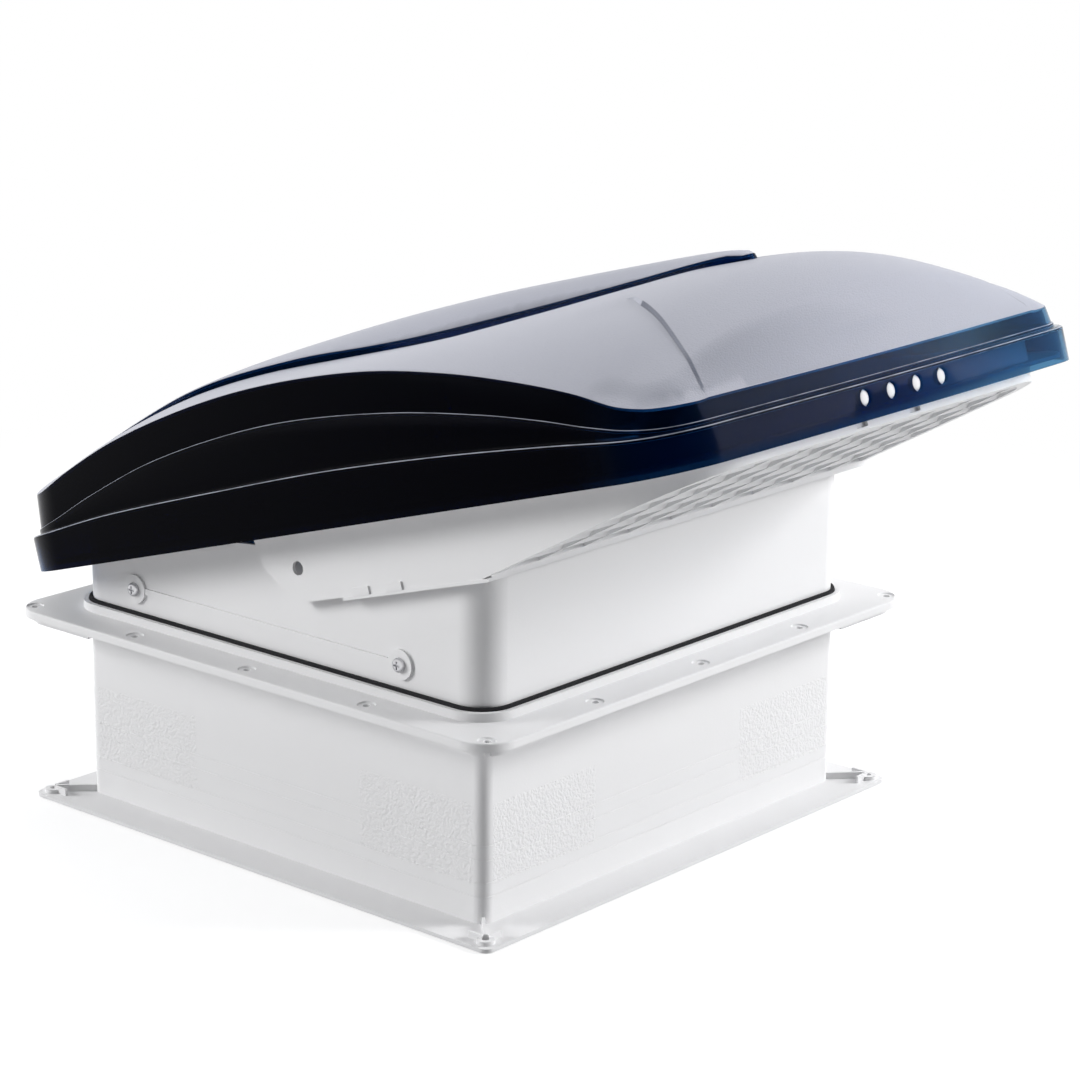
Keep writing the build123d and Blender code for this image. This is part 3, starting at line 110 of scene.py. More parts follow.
# %% Helpers for nodes
def add_node(tree, kind, inputs=None, operation=None):
    """Add a shader node: an input given as a socket is linked, any other is set as a value."""
    node = tree.nodes.new("ShaderNode" + kind)
    if operation:
        node.operation = operation
    for name, given in (inputs or {}).items():
        if isinstance(given, bpy.types.NodeSocket):
            tree.links.new(given, node.inputs[name])
        else:
            node.inputs[name].default_value = given
    return node


def math_step(tree, operation, first, second=0.5):
    """The result of one math step on two numbers or sockets."""
    return add_node(tree, "Math", {0: first, 1: second}, operation).outputs[0]


def map_range(tree, value, low, high, to_low=0.0, to_high=1.0, smooth=True):
    """A value moved from one range to another, with a soft start and end if smooth."""
    node = add_node(tree, "MapRange", {
        "Value": value, "From Min": low, "From Max": high, "To Min": to_low, "To Max": to_high,
    })
    if smooth:
        node.interpolation_type = "SMOOTHSTEP"
    return node.outputs["Result"]


def mix_shaders(tree, factor, first, second):
    """Two shaders mixed by a factor."""
    return add_node(tree, "MixShader", {0: factor, 1: first, 2: second}).outputs[0]


def white_to_the_eye(tree):
    """A factor that is 1 for camera, glossy and transmission rays."""
    rays = add_node(tree, "LightPath").outputs
    seen = math_step(tree, "MAXIMUM", rays["Is Camera Ray"], rays["Is Glossy Ray"])
    return math_step(tree, "MAXIMUM", seen, rays["Is Transmission Ray"])


# %% World
world = bpy.data.worlds.new("studio")
bpy.context.scene.world = world
world.use_nodes = True
tree = world.node_tree
tree.nodes.clear()
direction = add_node(tree, "TexCoord").outputs["Generated"]
to_camera = add_node(tree, "VectorMath", {0: direction, 1: (0.66, -0.74, 0.12)}, "DOT_PRODUCT")
room_light = map_range(tree, to_camera.outputs["Value"], -0.1, 0.95, 0.46, 0.04)
dim = add_node(tree, "Background", {"Color": (0.96, 0.98, 1.0, 1), "Strength": room_light}).outputs[0]
white = add_node(tree, "Background", {"Color": (1, 1, 1, 1), "Strength": 1.0}).outputs[0]
add_node(tree, "OutputWorld", {"Surface": mix_shaders(tree, white_to_the_eye(tree), dim, white)})
bpy.context.scene.view_settings.view_transform = "Standard"
print("world", world.name)

# %% Floor
bpy.ops.object.select_all(action="DESELECT")
bpy.ops.mesh.primitive_plane_add(size=24, location=(0, 0, -0.0004))
floor = bpy.context.object
floor.name = "floor"
floor_finish = bpy.data.materials.new("pale_floor")
floor_finish.use_nodes = True
tree = floor_finish.node_tree
tree.nodes.clear()
paint = add_node(tree, "BsdfDiffuse", {"Color": (0.5, 0.5, 0.505, 1)}).outputs[0]
glow = add_node(tree, "Emission", {"Strength": 0.62}).outputs[0]
near = add_node(tree, "AddShader", {0: paint, 1: glow}).outputs[0]
far = add_node(tree, "Emission", {"Strength": 1.0}).outputs[0]
place = add_node(tree, "TexCoord").outputs["Object"]
distance = add_node(tree, "VectorMath", {0: place}, "LENGTH").outputs["Value"]
seen_floor = mix_shaders(tree, map_range(tree, distance, 0.34, 1.1), near, far)
surface = mix_shaders(tree, white_to_the_eye(tree), paint, seen_floor)
add_node(tree, "OutputMaterial", {"Surface": surface})
floor.data.materials.append(floor_finish)
print("floor", floor_finish.name)


# %% Lamps
def soft_lamp(name, place, size, watts, aim=(0, 0, 0.2)):
    """A square soft box that looks at a point of the vent."""
    data = bpy.data.lights.new(name, "AREA")
    data.size = size
    data.energy = watts
    lamp = bpy.data.objects.new(name, data)
    bpy.context.scene.collection.objects.link(lamp)
    lamp.location = place
    lamp.rotation_mode = "QUATERNION"
    lamp.rotation_quaternion = (Vector(aim) - Vector(place)).to_track_quat("-Z", "Y")
    lamp.visible_glossy = False
    return lamp


soft_lamp("left_lamp", (-2.55, -2.35, 1.25), 1.4, 98)
soft_lamp("right_lamp", (2.35, 2.55, 1.6), 1.4, 142)
soft_lamp("top_lamp", (-0.3, 0.5, 3.0), 2.0, 26)
print("lamps", [lamp.name for lamp in bpy.data.lights])

# %% [markdown]
# ## Shared effects
#
# Moulded plastic is never quite even: its gloss drifts a little over a hand's
# width, and its surface has a fine grain. Both effects are node groups, made
# once and placed in every material with values of its own.


# %% Grain and drift as node groups
def new_group(name, inputs, outputs):
    """An empty shader node group with number inputs and the named outputs."""
    group = bpy.data.node_groups.new(name, "ShaderNodeTree")
    for title, value in inputs:
        socket = group.interface.new_socket(name=title, in_out="INPUT", socket_type="NodeSocketFloat")
        socket.default_value = value
    for title, kind in outputs:
        group.interface.new_socket(name=title, in_out="OUTPUT", socket_type=kind)
    start = group.nodes.new("NodeGroupInput")
    end = group.nodes.new("NodeGroupOutput")
    return group, start, end


grain_group, start, end = new_group(
    "moulded_grain", [("Scale", 900.0), ("Depth", 0.3)], [("Normal", "NodeSocketVector")]
)
place = add_node(grain_group, "TexCoord").outputs["Object"]
noise = add_node(grain_group, "TexNoise", {"Vector": place, "Scale": start.outputs["Scale"], "Detail": 3})
bump = add_node(grain_group, "Bump", {
    "Strength": start.outputs["Depth"], "Distance": 0.0004, "Height": noise.outputs["Fac"],
})
grain_group.links.new(bump.outputs["Normal"], end.inputs["Normal"])

drift_group, start, end = new_group(
    "gloss_drift", [("Low", 0.35), ("High", 0.45), ("Scale", 14.0)], [("Roughness", "NodeSocketFloat")]
)
place = add_node(drift_group, "TexCoord").outputs["Object"]
noise = add_node(drift_group, "TexNoise", {"Vector": place, "Scale": start.outputs["Scale"]})
gloss = map_range(
    drift_group, noise.outputs["Fac"], 0.0, 1.0, start.outputs["Low"], start.outputs["High"], smooth=False
)
drift_group.links.new(gloss, end.inputs["Roughness"])
print("groups", grain_group.name, drift_group.name)


# %% A finish made from the two groups
def place_group(tree, group, inputs):
    """Place a shared effect in a tree, with values of its own, and return its result."""
    node = add_node(tree, "Group")
    node.node_tree = group
    for name, value in inputs.items():
        node.inputs[name].default_value = value
    return node.outputs[0]


def finish(name, colour, low, high, grain_scale, grain_depth, metallic=0.0):
    """A Principled material with moulded grain and a gloss that drifts."""
    material = bpy.data.materials.new(name)
    material.use_nodes = True
    tree = material.node_tree
    shader = tree.nodes["Principled BSDF"]
    shader.inputs["Base Color"].default_value = (*colour, 1)
    shader.inputs["Metallic"].default_value = metallic
    grain = place_group(tree, grain_group, {"Scale": grain_scale, "Depth": grain_depth})
    drift = place_group(tree, drift_group, {"Low": low, "High": high})
    tree.links.new(grain, shader.inputs["Normal"])
    tree.links.new(drift, shader.inputs["Roughness"])
    return material


# %% [markdown]
# ## Finishes of the CAD pieces
#
# Each piece gets a finish for what it is made of: white moulded plastic outside,
# zinc-plated screws, pale nylon gears, and black plastic for the fan.

# %% Finishes
finishes = {
    "white_plastic": finish("white_plastic", (0.84, 0.838, 0.845), 0.34, 0.46, 700, 0.12),
    "blue_plastic": finish("blue_plastic", (0.004, 0.012, 0.06), 0.2, 0.3, 1500, 0.1),
    "black_foam": finish("black_foam", (0.012, 0.012, 0.014), 0.8, 0.95, 500, 0.8),
    "zinc_steel": finish("zinc_steel", (0.62, 0.62, 0.64), 0.24, 0.4, 1600, 0.15, metallic=1.0),
    "pale_nylon": finish("pale_nylon", (0.72, 0.70, 0.62), 0.4, 0.5, 900, 0.1),
    "grey_plastic": finish("grey_plastic", (0.33, 0.34, 0.36), 0.36, 0.46, 900, 0.15),
    "black_plastic": finish("black_plastic", (0.02, 0.02, 0.022), 0.34, 0.5, 900, 0.2),
    "black_metal": finish("black_metal", (0.03, 0.03, 0.034), 0.3, 0.42, 1200, 0.2),
    "dark_mesh": finish("dark_mesh", (0.07, 0.07, 0.075), 0.7, 0.85, 1400, 1.0),
    "dark_window": finish("dark_window", (0.008, 0.008, 0.01), 0.06, 0.1, 400, 0.02),
    "green_board": finish("green_board", (0.02, 0.12, 0.045), 0.3, 0.4, 700, 0.1),
}
for entry in frame["record"]["subparts"]:
    piece = nodes[entry["node"]]
    piece.data.materials.clear()
    piece.data.materials.append(finishes[entry["material_slot"]])
print("finished", len(nodes), "pieces")

# %% [markdown]
# ## Stippled patches on the trim
#
# The tall skirt of the ceiling trim has a rough, pebbled patch near each of its
# corners, where a fitter's tape holds better. They are moulded in, so they are part
# of the trim's finish: a mask from the place on the skirt turns the pebbles on.


# %% Trim finish
# The patches in metres: out to the skirt's face, along the side, and up from the ceiling
skirt_face, patch_along, patch_up = (0.1739, 0.1745), (0.0725, 0.1665), (0.027, 0.0775)


def stippled_patches(material):
    """Add the pebbled patches to the trim's finish."""
    tree = material.node_tree
    shader = tree.nodes["Principled BSDF"]
    place = add_node(tree, "TexCoord").outputs["Object"]
    parts = add_node(tree, "SeparateXYZ", {0: place}).outputs
    sides = [math_step(tree, "ABSOLUTE", parts[axis]) for axis in ("X", "Y")]
    outer = math_step(tree, "MAXIMUM", *sides)
    inner = math_step(tree, "MINIMUM", *sides)
    mask = map_range(tree, outer, *skirt_face)
    soft = 0.0006
    for value, (low, high) in ((inner, patch_along), (parts["Z"], patch_up)):
        mask = math_step(tree, "MULTIPLY", mask, map_range(tree, value, low - soft, low + soft))
        mask = math_step(tree, "MULTIPLY", mask, map_range(tree, value, high - soft, high + soft, 1.0, 0.0))
    pebbles = add_node(tree, "TexVoronoi", {"Vector": place, "Scale": 520})
    pebbles.feature = "SMOOTH_F1"
    ragged = add_node(tree, "TexNoise", {"Vector": place, "Scale": 900})
    rough = math_step(tree, "ADD", pebbles.outputs["Distance"], ragged.outputs["Fac"])
    height = math_step(tree, "MULTIPLY", math_step(tree, "SUBTRACT", rough, 0.85), mask)
    moulded = shader.inputs["Normal"].links[0].from_socket
    bump = add_node(tree, "Bump", {"Strength": 0.5, "Distance": 0.0008, "Height": height, "Normal": moulded})
    tree.links.new(bump.outputs["Normal"], shader.inputs["Normal"])


trim_finish = finish("white_trim", (0.84, 0.838, 0.845), 0.36, 0.48, 700, 0.12)
stippled_patches(trim_finish)
nodes["ceiling_trim"].data.materials.clear()
nodes["ceiling_trim"].data.materials.append(trim_finish)
print("patches on", nodes["ceiling_trim"].name)

# %% [markdown]
# ## The gasket
#
# A black foam cord fills the gap between the collar of the roof flange and the
# box. It bulges up a little above the collar, so it shows as a thin black line.
#
# A modifier could bevel a plain ring, but here the round top is worked out: its
# profile is carried round the box as rings of points, which four-sided faces join.
# The side of the lid and the plugs in its front are made with the same helpers.


# %% Helpers for pieces made of rings
def join_rings(shape, rings):
    """Join each closed ring of points to the next one with four-sided faces."""
    for first, second in zip(rings, rings[1:]):
        for n in range(len(first)):
            m = (n + 1) % len(first)
            shape.faces.new((first[n], first[m], second[m], second[n]))


def object_from(shape, name):
    """Turn a bmesh into an object of the scene, with its faces turned outwards."""
    bmesh.ops.recalc_face_normals(shape, faces=shape.faces)
    mesh = bpy.data.meshes.new(name)
    shape.to_mesh(mesh)
    shape.free()
    piece = bpy.data.objects.new(name, mesh)
    bpy.context.scene.collection.objects.link(piece)
    return piece


# %% Gasket as a round-topped ring
def rounded_square(half, corner, steps=12):
    """Points of a square with rounded corners, with their outward directions."""
    points = []
    for quarter in range(4):
        middle_angle = math.pi / 4 + quarter * math.pi / 2
        cx = (half - corner) * (1 if math.cos(middle_angle) > 0 else -1)
        cy = (half - corner) * (1 if math.sin(middle_angle) > 0 else -1)
        for number in range(steps + 1):
            angle = quarter * math.pi / 2 + math.pi / 2 * number / steps
            c, s = math.cos(angle), math.sin(angle)
            points.append((cx + corner * c, cy + corner * s, c, s))
    return points


gasket_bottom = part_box("flange_gasket")[0][2]
gap_inner, gap_outer, gap_corner = 0.1779, 0.1803, 0.0217
gap_middle, gap_half = (gap_inner + gap_outer) / 2, (gap_outer - gap_inner) / 2
wall_top, bulge = gasket_bottom + 0.0062, 0.0014
profile = [(gap_half, gasket_bottom), (gap_half, wall_top)]
for number in range(1, 8):
    angle = math.pi * number / 8
    profile.append((gap_half * math.cos(angle), wall_top + bulge * math.sin(angle)))
profile += [(-gap_half, wall_top), (-gap_half, gasket_bottom)]
gasket_shape = bmesh.new()
gasket_rings = []
for out, height in profile:
    gasket_rings.append([
        gasket_shape.verts.new((x + out * nx, y + out * ny, height))
        for x, y, nx, ny in rounded_square(gap_middle, gap_corner)
    ])
join_rings(gasket_shape, gasket_rings + gasket_rings[:1])
foam_gasket = object_from(gasket_shape, "foam_gasket")
foam_gasket.data.materials.append(finishes["black_foam"])
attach(foam_gasket, "base")
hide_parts("flange_gasket")
print("gasket faces", len(foam_gasket.data.polygons))

# %% [markdown]
# ## The lid
#
# The real lid is one moulding of dark blue, see-through plastic, about three
# millimetres thick. Its lower rim stands out as a band, above that the side has
# one more small step, and then comes a soft shoulder and a crowned top. A raised
# spine runs along the middle, and a thin fold cuts across each front corner.
#
# The CAD model has the same lid, made by lofting, and its triangles show as soon
# as light slides over them. A smooth skin needs a surface whose height is known
# at every point, so the lid is drawn here as a height over its plan. All lengths
# are in millimetres in the lid's own directions: along it from the hinge, across
# it, and square to its lower edge.

# %% Sizes of the lid
hinge_x, hinge_z = -97.6, 180.0
open_angle = math.radians(16.67)
lid_rear, lid_front, lid_half = -118.9, 465.0, 209.5
rear_corner, front_corner, front_bow = 55.0, 44.0, 8.0
edge_height, crown_height = 4.0, 104.0
# Insets from the outline: of the side above the rim and above the step, and from there
# to the edge of the top, which leans in more at the two sides than at the two ends
rim_inset, step_inset = 5.0, 6.2
top_lip, shoulder_lean, end_lean = 1.2, 2.5, 1.0
end_lip = top_lip + end_lean
spine_rear_half = 109.0
panel_half, hole_radius, hole_pitch, hole_height = 60.0, 5.25, 25.5, edge_height + 13.0


def lid_point(along, across, height):
    """A point of the lid, from millimetres in the lid's directions to metres in the model's."""
    x = hinge_x + along * math.cos(open_angle) - height * math.sin(open_angle)
    z = hinge_z + along * math.sin(open_angle) + height * math.cos(open_angle)
    return Vector((x / 1000, across / 1000, z / 1000))


print("lid corner", tuple(lid_point(lid_rear, -lid_half, edge_height)))

# %% [markdown]
# ## Curves along the lid
#
# The heights were read off the photograph at stations along the lid. A smooth
# curve through the stations gives every height between them.


# %% Curves through the stations
def smooth_curve(points):
    """A function through points, with its slope at each one taken from its neighbours."""
    places = [x for x, value in points]
    slopes = []
    for number in range(len(points)):
        before = points[max(number - 1, 0)]
        after = points[min(number + 1, len(points) - 1)]
        slopes.append((after[1] - before[1]) / (after[0] - before[0]))

    def height_at(x):
        x = min(max(x, places[0]), places[-1])
        number = min(bisect_right(places, x), len(points) - 1) - 1
        (x0, y0), (x1, y1) = points[number], points[number + 1]
        span = x1 - x0
        t = (x - x0) / span
        a = y0 * (1 + 2 * t) * (1 - t) ** 2 + slopes[number] * span * t * (1 - t) ** 2
        b = y1 * t * t * (3 - 2 * t) + slopes[number + 1] * span * t * t * (t - 1)
        return a + b

    return height_at


def ease(value, low, high):
    """A share that rises smoothly from 0 at the low value to 1 at the high one."""
    share = min(max((value - low) / (high - low), 0), 1)
    return share * share * (3 - 2 * share)


def column(rows, number, scale=crown_height, base=edge_height):
    """One column of a table of shares, as points over the lid's length."""
    return [(lid_rear + row[0] * (lid_front - lid_rear), base + row[number] * scale) for row in rows]


# Share of the length, then shoulder and middle as shares of the crown height
dome_rows = (
    (0.000, 0.375, 0.740), (0.056, 0.452, 0.840), (0.123, 0.582, 0.912), (0.209, 0.712, 0.930),
    (0.312, 0.808, 0.908), (0.414, 0.860, 0.895), (0.517, 0.865, 0.905), (0.620, 0.827, 0.938),
    (0.723, 0.731, 0.975), (0.808, 0.615, 0.995), (0.877, 0.498, 0.962), (0.918, 0.410, 0.880),
    (0.949, 0.362, 0.765), (0.964, 0.350, 0.660), (0.975, 0.345, 0.545), (0.981, 0.343, 0.455),
    (0.9855, 0.342, 0.372), (1.000, 0.342, 0.345),
)
# Share of the length, half width as a share of the rear one, edge and ridge
spine_rows = (
    (0.000, 1.000, 0.665, 0.790), (0.074, 0.880, 0.810, 0.905), (0.128, 0.795, 0.895, 0.965),
    (0.178, 0.690, 0.940, 1.005), (0.262, 0.505, 0.962, 1.045), (0.345, 0.370, 0.945, 1.072),
    (0.410, 0.305, 0.940, 1.085), (0.500, 0.250, 0.950, 1.095), (0.600, 0.205, 0.970, 1.092),
    (0.710, 0.170, 1.003, 1.082), (0.780, 0.145, 1.028, 1.072), (0.815, 0.128, 1.036, 1.060),
    (0.832, 0.098, 1.034, 1.043), (0.840, 0.060, 1.020, 1.023),
)
shoulder_at = smooth_curve(column(dome_rows, 1))
middle_at = smooth_curve(column(dome_rows, 2))
spine_half_at = smooth_curve(column(spine_rows, 1, spine_rear_half, 0))
spine_edge_at = smooth_curve(column(spine_rows, 2))
spine_ridge_at = smooth_curve(column(spine_rows, 3))
rim_at = smooth_curve([
    (-119, 24.6), (-76, 28.5), (-5.5, 34.2), (111, 37.3), (196, 38.2), (289, 35.7), (369, 31.4), (439, 26.4),
    (465, 25.6),
])
step_at = smooth_curve([
    (-119, 26.6), (-72, 34), (-25, 47), (39, 61), (115, 69), (178, 70), (257, 64), (324, 54), (368, 45),
    (401, 37), (440, 29.6), (465, 27.8),
])
spine_end = column(spine_rows, 1)[-1][0]
print("spine ends at", round(spine_end, 1), "mm")

# %% [markdown]
# ## The height of the top
#
# Across the lid the top is an arc of a circle, from shoulder to shoulder. The
# spine is a second arc on a strip of its own, with a short steep wall down to the
# dome. The fold at each front corner is a drop of at most 2.2 mm: deepest at its
# inner end and gone where it meets the front. The edge of the nose is rounded down
# to the shoulder over its last 22 mm.


# %% Height of the top at a place
def arc_height(across, half, edge, middle):
    """The height of an arc that has its edge and its middle at the given heights."""
    rise = max(middle - edge, 0.05)
    radius = (half * half + rise * rise) / (2 * rise)
    return middle - radius + math.sqrt(max(radius * radius - across * across, 0))


# The fold: its inner end, its length and depth, and its direction
fold_start, fold_side, fold_length, fold_depth = 370.0, 101.0, 117.3, 2.2
fold_along, fold_out = 0.8056, 0.5925
# It sets in over a share of its length, is this wide to each side, and fades outwards
fold_lead, fold_half, fold_fade = 0.3, 0.7, 30.0
# Where the nose's rounding begins and is full, its radius round the corner and its width
nose_start, nose_full, nose_corner, nose_round = 380.0, 430.0, 34.0, 22.0


def fold_place(along, across):
    """How far along the fold, as a share of it, and how far outside it, in millimetres."""
    forward, outward = along - fold_start, abs(across) - fold_side
    share = (forward * fold_along + outward * fold_out) / fold_length
    return share, outward * fold_along - forward * fold_out


def fold_drop(along, across):
    """How far the wing outside the fold lies below the smooth dome."""
    share, outside = fold_place(along, across)
    if share < -fold_lead or outside < -fold_half:
        return 0.0
    depth = fold_depth * ease(share, -fold_lead, 0) * max(1 - share, 0) ** 0.8
    if outside < fold_half:
        return depth * (outside + fold_half) / (2 * fold_half)
    return depth * math.exp((fold_half - outside) / fold_fade)


def nose_pull(along, across, height):
    """How far the edge of the nose is rounded down to the height of the shoulder."""
    across = abs(across)
    side_gap = lid_half - step_inset - shoulder_lean - top_lip - across
    front_gap = lid_front - front_bow * (across / lid_half) ** 2 - (step_inset + end_lip) - along
    gap = min(side_gap, front_gap)
    if side_gap < nose_corner and front_gap < nose_corner:
        gap = nose_corner - math.hypot(nose_corner - side_gap, nose_corner - front_gap)
    gap = max(gap, 0)
    if gap > nose_round or along < nose_start:
        return 0.0
    share = 1 - gap / nose_round
    full = max(height - shoulder_at(along), 0) * (1 - math.sqrt(1 - share * share))
    return full * ease(along, nose_start, nose_full)


def dome_height(along, across):
    """The height of the lid's top without its spine."""
    half = lid_half - step_inset - shoulder_lean
    smooth = arc_height(min(abs(across), half), half, shoulder_at(along), middle_at(along))
    return smooth - nose_pull(along, across, smooth) - fold_drop(along, across)


# The spine's outline on its near side, from the rear to the rounded tip
spine_line = []
for number in range(75):
    along = lid_rear + 6 + number * (spine_end - lid_rear - 6) / 74
    spine_line.append((along, spine_half_at(along)))
spine_line.append((spine_end + 2, spine_half_at(spine_end) * 0.6))
spine_line.append((spine_end + 3, 0.0))


def outside_spine(along, across):
    """Distance to the spine's outline, negative on the spine."""
    across = abs(across)
    if along < spine_end - 30:
        slope = (spine_half_at(along + 1) - spine_half_at(along - 1)) / 2
        return (across - spine_half_at(along)) / math.sqrt(1 + slope * slope)
    best = 1e9
    for (x0, y0), (x1, y1) in zip(spine_line[-20:-1], spine_line[-19:]):
        run, rise = x1 - x0, y1 - y0
        share = min(max(((along - x0) * run + (across - y0) * rise) / (run * run + rise * rise), 0), 1)
        gap_x, gap_y = along - x0 - share * run, across - y0 - share * rise
        distance = math.hypot(gap_x, gap_y)
        if distance < abs(best):
            best = math.copysign(distance, run * gap_y - rise * gap_x)
    return best


# Distances from the spine's outline of the lines that follow it
spine_beside, spine_foot, spine_wall, spine_shelf = 2.0, 1.2, 0.3, -0.7
spine_lip = 0.8  # how far the top of its wall lies below the spine


def top_height(along, across):
    """The height of the lid's top, with its spine."""
    outside = outside_spine(along, across)
    dome = dome_height(along, across)
    if outside >= spine_foot:
        return dome
    half = max(spine_half_at(along), 4.0)
    raised = arc_height(min(abs(across), half), half, spine_edge_at(along), spine_ridge_at(along))
    if outside <= spine_shelf:
        return raised
    lip = raised - spine_lip
    if outside <= spine_wall:
        return raised + (lip - raised) * (outside - spine_shelf) / (spine_wall - spine_shelf)
    return lip + (dome - lip) * (outside - spine_wall) / (spine_foot - spine_wall)


print("top at the hinge", round(top_height(0, 0), 1), "mm, at the front", round(top_height(460, 0), 1), "mm")

# %% [markdown]
# ## The plan outline
#
# Seen from above the lid is a rectangle with round corners and a front edge that
# bows out a little. The points of the outline carry their outward direction, so
# every step of the side can be drawn in from them by a few millimetres.


# %% Points of the outline
def outline_half():
    """Points of the outline from the middle of the front to the middle of the rear."""
    slope = 2 * front_bow * (lid_half - front_corner) / lid_half ** 2
    turn = math.atan(slope)
    corner_side = lid_half - front_corner
    front_end = corner_side + front_corner * math.sin(turn)
    corner_place = lid_front - front_bow * (front_end / lid_half) ** 2 - front_corner * math.cos(turn)
    points = []
    sides = [panel_half * n / 20 for n in range(21)]
    sides += [panel_half + n * (front_end - panel_half) / 28 for n in range(1, 28)]
    for side in sides:
        lean = math.atan(2 * front_bow * side / lid_half ** 2)
        points.append((lid_front - front_bow * (side / lid_half) ** 2, side, math.cos(lean), math.sin(lean)))
    for number in range(25):
        angle = turn + (math.pi / 2 - turn) * number / 24
        c, s = math.cos(angle), math.sin(angle)
        points.append((corner_place + front_corner * c, corner_side + front_corner * s, c, s))
    side_end = lid_rear + rear_corner
    for number in range(1, 110):
        points.append((corner_place + (side_end - corner_place) * number / 110, lid_half, 0, 1))
    for number in range(31):
        angle = math.pi / 2 * (1 + number / 30)
        c, s = math.cos(angle), math.sin(angle)
        points.append((side_end + rear_corner * c, lid_half - rear_corner + rear_corner * s, c, s))
    crossing = spine_half_at(lid_rear + top_inset(-1, 0))
    sides = [lid_half - rear_corner - 4 * n for n in range(1, 11)] + [crossing + 4]
    sides += [crossing + spine_beside, crossing + spine_foot, crossing + spine_wall, crossing + spine_shelf]
    sides += [(crossing - 3) * (1 - n / 30) for n in range(31)]
    points += [(lid_rear, side, -1, 0) for side in sides]
    return points


def top_inset(out_along, out_across):
    """How far in the smooth top begins, less at the two ends than at the sides."""
    return step_inset + top_lip + end_lean * out_along ** 2 + shoulder_lean * out_across ** 2


near_half = outline_half()
outline = near_half + [(x, -y, nx, -ny) for x, y, nx, ny in reversed(near_half[1:-1])]
print("outline points", len(outline))

# %% [markdown]
# ## The side
#
# The side is a stack of rings round the outline. Each ring has an inset and a
# height. Close pairs of rings round off the edges, and the lid's material paints
# thin white highlights on these narrow roundings.


# %% Rings of the side
def ring(inset_of, height_of):
    """One ring of points round the lid, at an inset and a height for each outline point."""
    points = []
    for along, across, out_along, out_across in outline:
        inset = inset_of(out_along, out_across)
        x, y = along - inset * out_along, across - inset * out_across
        points.append((x, y, height_of(x, y)))
    return points


side_steps = [
    (lambda a, b: 0.0, lambda x, y: edge_height),
    (lambda a, b: 0.0, lambda x, y: rim_at(x) - 1.3),
    (lambda a, b: 0.4, lambda x, y: rim_at(x) - 0.4),
    (lambda a, b: 1.3, lambda x, y: rim_at(x)),
    (lambda a, b: rim_inset - 0.6, lambda x, y: rim_at(x) + 0.1),
    (lambda a, b: rim_inset, lambda x, y: rim_at(x) + 0.7),
    (lambda a, b: rim_inset, lambda x, y: step_at(x) - 0.5),
    (lambda a, b: rim_inset + 0.3, lambda x, y: step_at(x)),
    (lambda a, b: step_inset, lambda x, y: step_at(x) + 0.35),
]
rings = [ring(*step) for step in side_steps]
first_top_ring = len(rings) + 1
# Two rings round off the edge of the top, and the second one counts as top already
boundary = ring(top_inset, top_height)
for out, down in ((1.05, 1.5), (0.75, 0.4)):
    rings.append([
        (x + out * nx, y + out * ny, z - down)
        for (x, y, z), (along, across, nx, ny) in zip(boundary, outline)
    ])
rings.append(boundary)
print("rings", len(rings), "of", len(outline), "points")

# %% [markdown]
# ## Four holes in the front
#
# The front of the rim has four round holes in a row. That stretch of the rim is
# triangulated on its own, with the circles left out.


# %% Front panel with its holes
hole_sides = [(number - 1.5) * hole_pitch for number in range(4)]


def front_panel():
    """Triangles of the rim's front between two outline points, without the holes."""
    low = [p for p in rings[0] if abs(p[1]) <= panel_half + 0.01 and p[0] > 0]
    high = [p for p in rings[1] if abs(p[1]) <= panel_half + 0.01 and p[0] > 0]
    low.sort(key=lambda p: p[1])
    high.sort(key=lambda p: p[1], reverse=True)
    flat = [Vector((p[1], p[2])) for p in low + high]
    count = len(flat)
    edges = [(n, (n + 1) % count) for n in range(count)]
    steps = 40
    for side in hole_sides:
        first = len(flat)
        for n in range(steps):
            angle = 2 * math.pi * n / steps
            out, height = hole_radius * math.cos(angle), hole_radius * math.sin(angle)
            flat.append(Vector((side + out, hole_height + height)))
            edges.append((first + n, first + (n + 1) % steps))
    verts, _, faces, _, _, _ = delaunay_2d_cdt(flat, edges, [], 1, 1e-6)
    kept = []
    for face in faces:
        middle = sum((verts[n] for n in face), Vector((0, 0))) / len(face)
        gaps = [math.hypot(middle.x - side, middle.y - hole_height) for side in hole_sides]
        if min(gaps) > hole_radius * 0.98:
            kept.append(face)
    points = [(lid_front - front_bow * (v.x / lid_half) ** 2, v.x, v.y) for v in verts]
    return points, kept


panel_points, panel_faces = front_panel()
print("front panel faces", len(panel_faces))


# %% [markdown]
# ## The top
#
# The top is triangulated over the plan. The lines of the spine and of the two
# folds are given as fixed edges, so that the triangles follow them and the edges
# stay crisp. Points between the lines lie on an even grid.


# %% Triangles of the top
# How far the grid of points stays from the spine, from a fold and from the edge of the top
clear_of_spine, clear_of_fold, clear_of_edge = 1.4, 2.8, 1.8
# How far out a fold's outer lines lie, and how far before the edge of the top they end
fold_beside, fold_end_gap = 1.5, 3.0
corner_loss = 8.0  # how much smaller the corners of the top are than the outline's


def offset_spine(distance):
    """The spine's outline moved out by a distance, as one line round the tip."""
    line = []
    for number, (x, y) in enumerate(spine_line):
        x0, y0 = spine_line[max(number - 1, 0)]
        x1, y1 = spine_line[min(number + 1, len(spine_line) - 1)]
        if number == len(spine_line) - 1:
            line.append((x + distance, 0.0))
            continue
        length = math.hypot(x1 - x0, y1 - y0)
        line.append((x - distance * (y1 - y0) / length, y + distance * (x1 - x0) / length))
    start = lid_rear + top_inset(-1, 0)
    line = [p for p in line if p[0] > start + 1.5]
    line.insert(0, (start, spine_half_at(start) + distance))
    return line + [(x, -y) for x, y in reversed(line[:-1])]


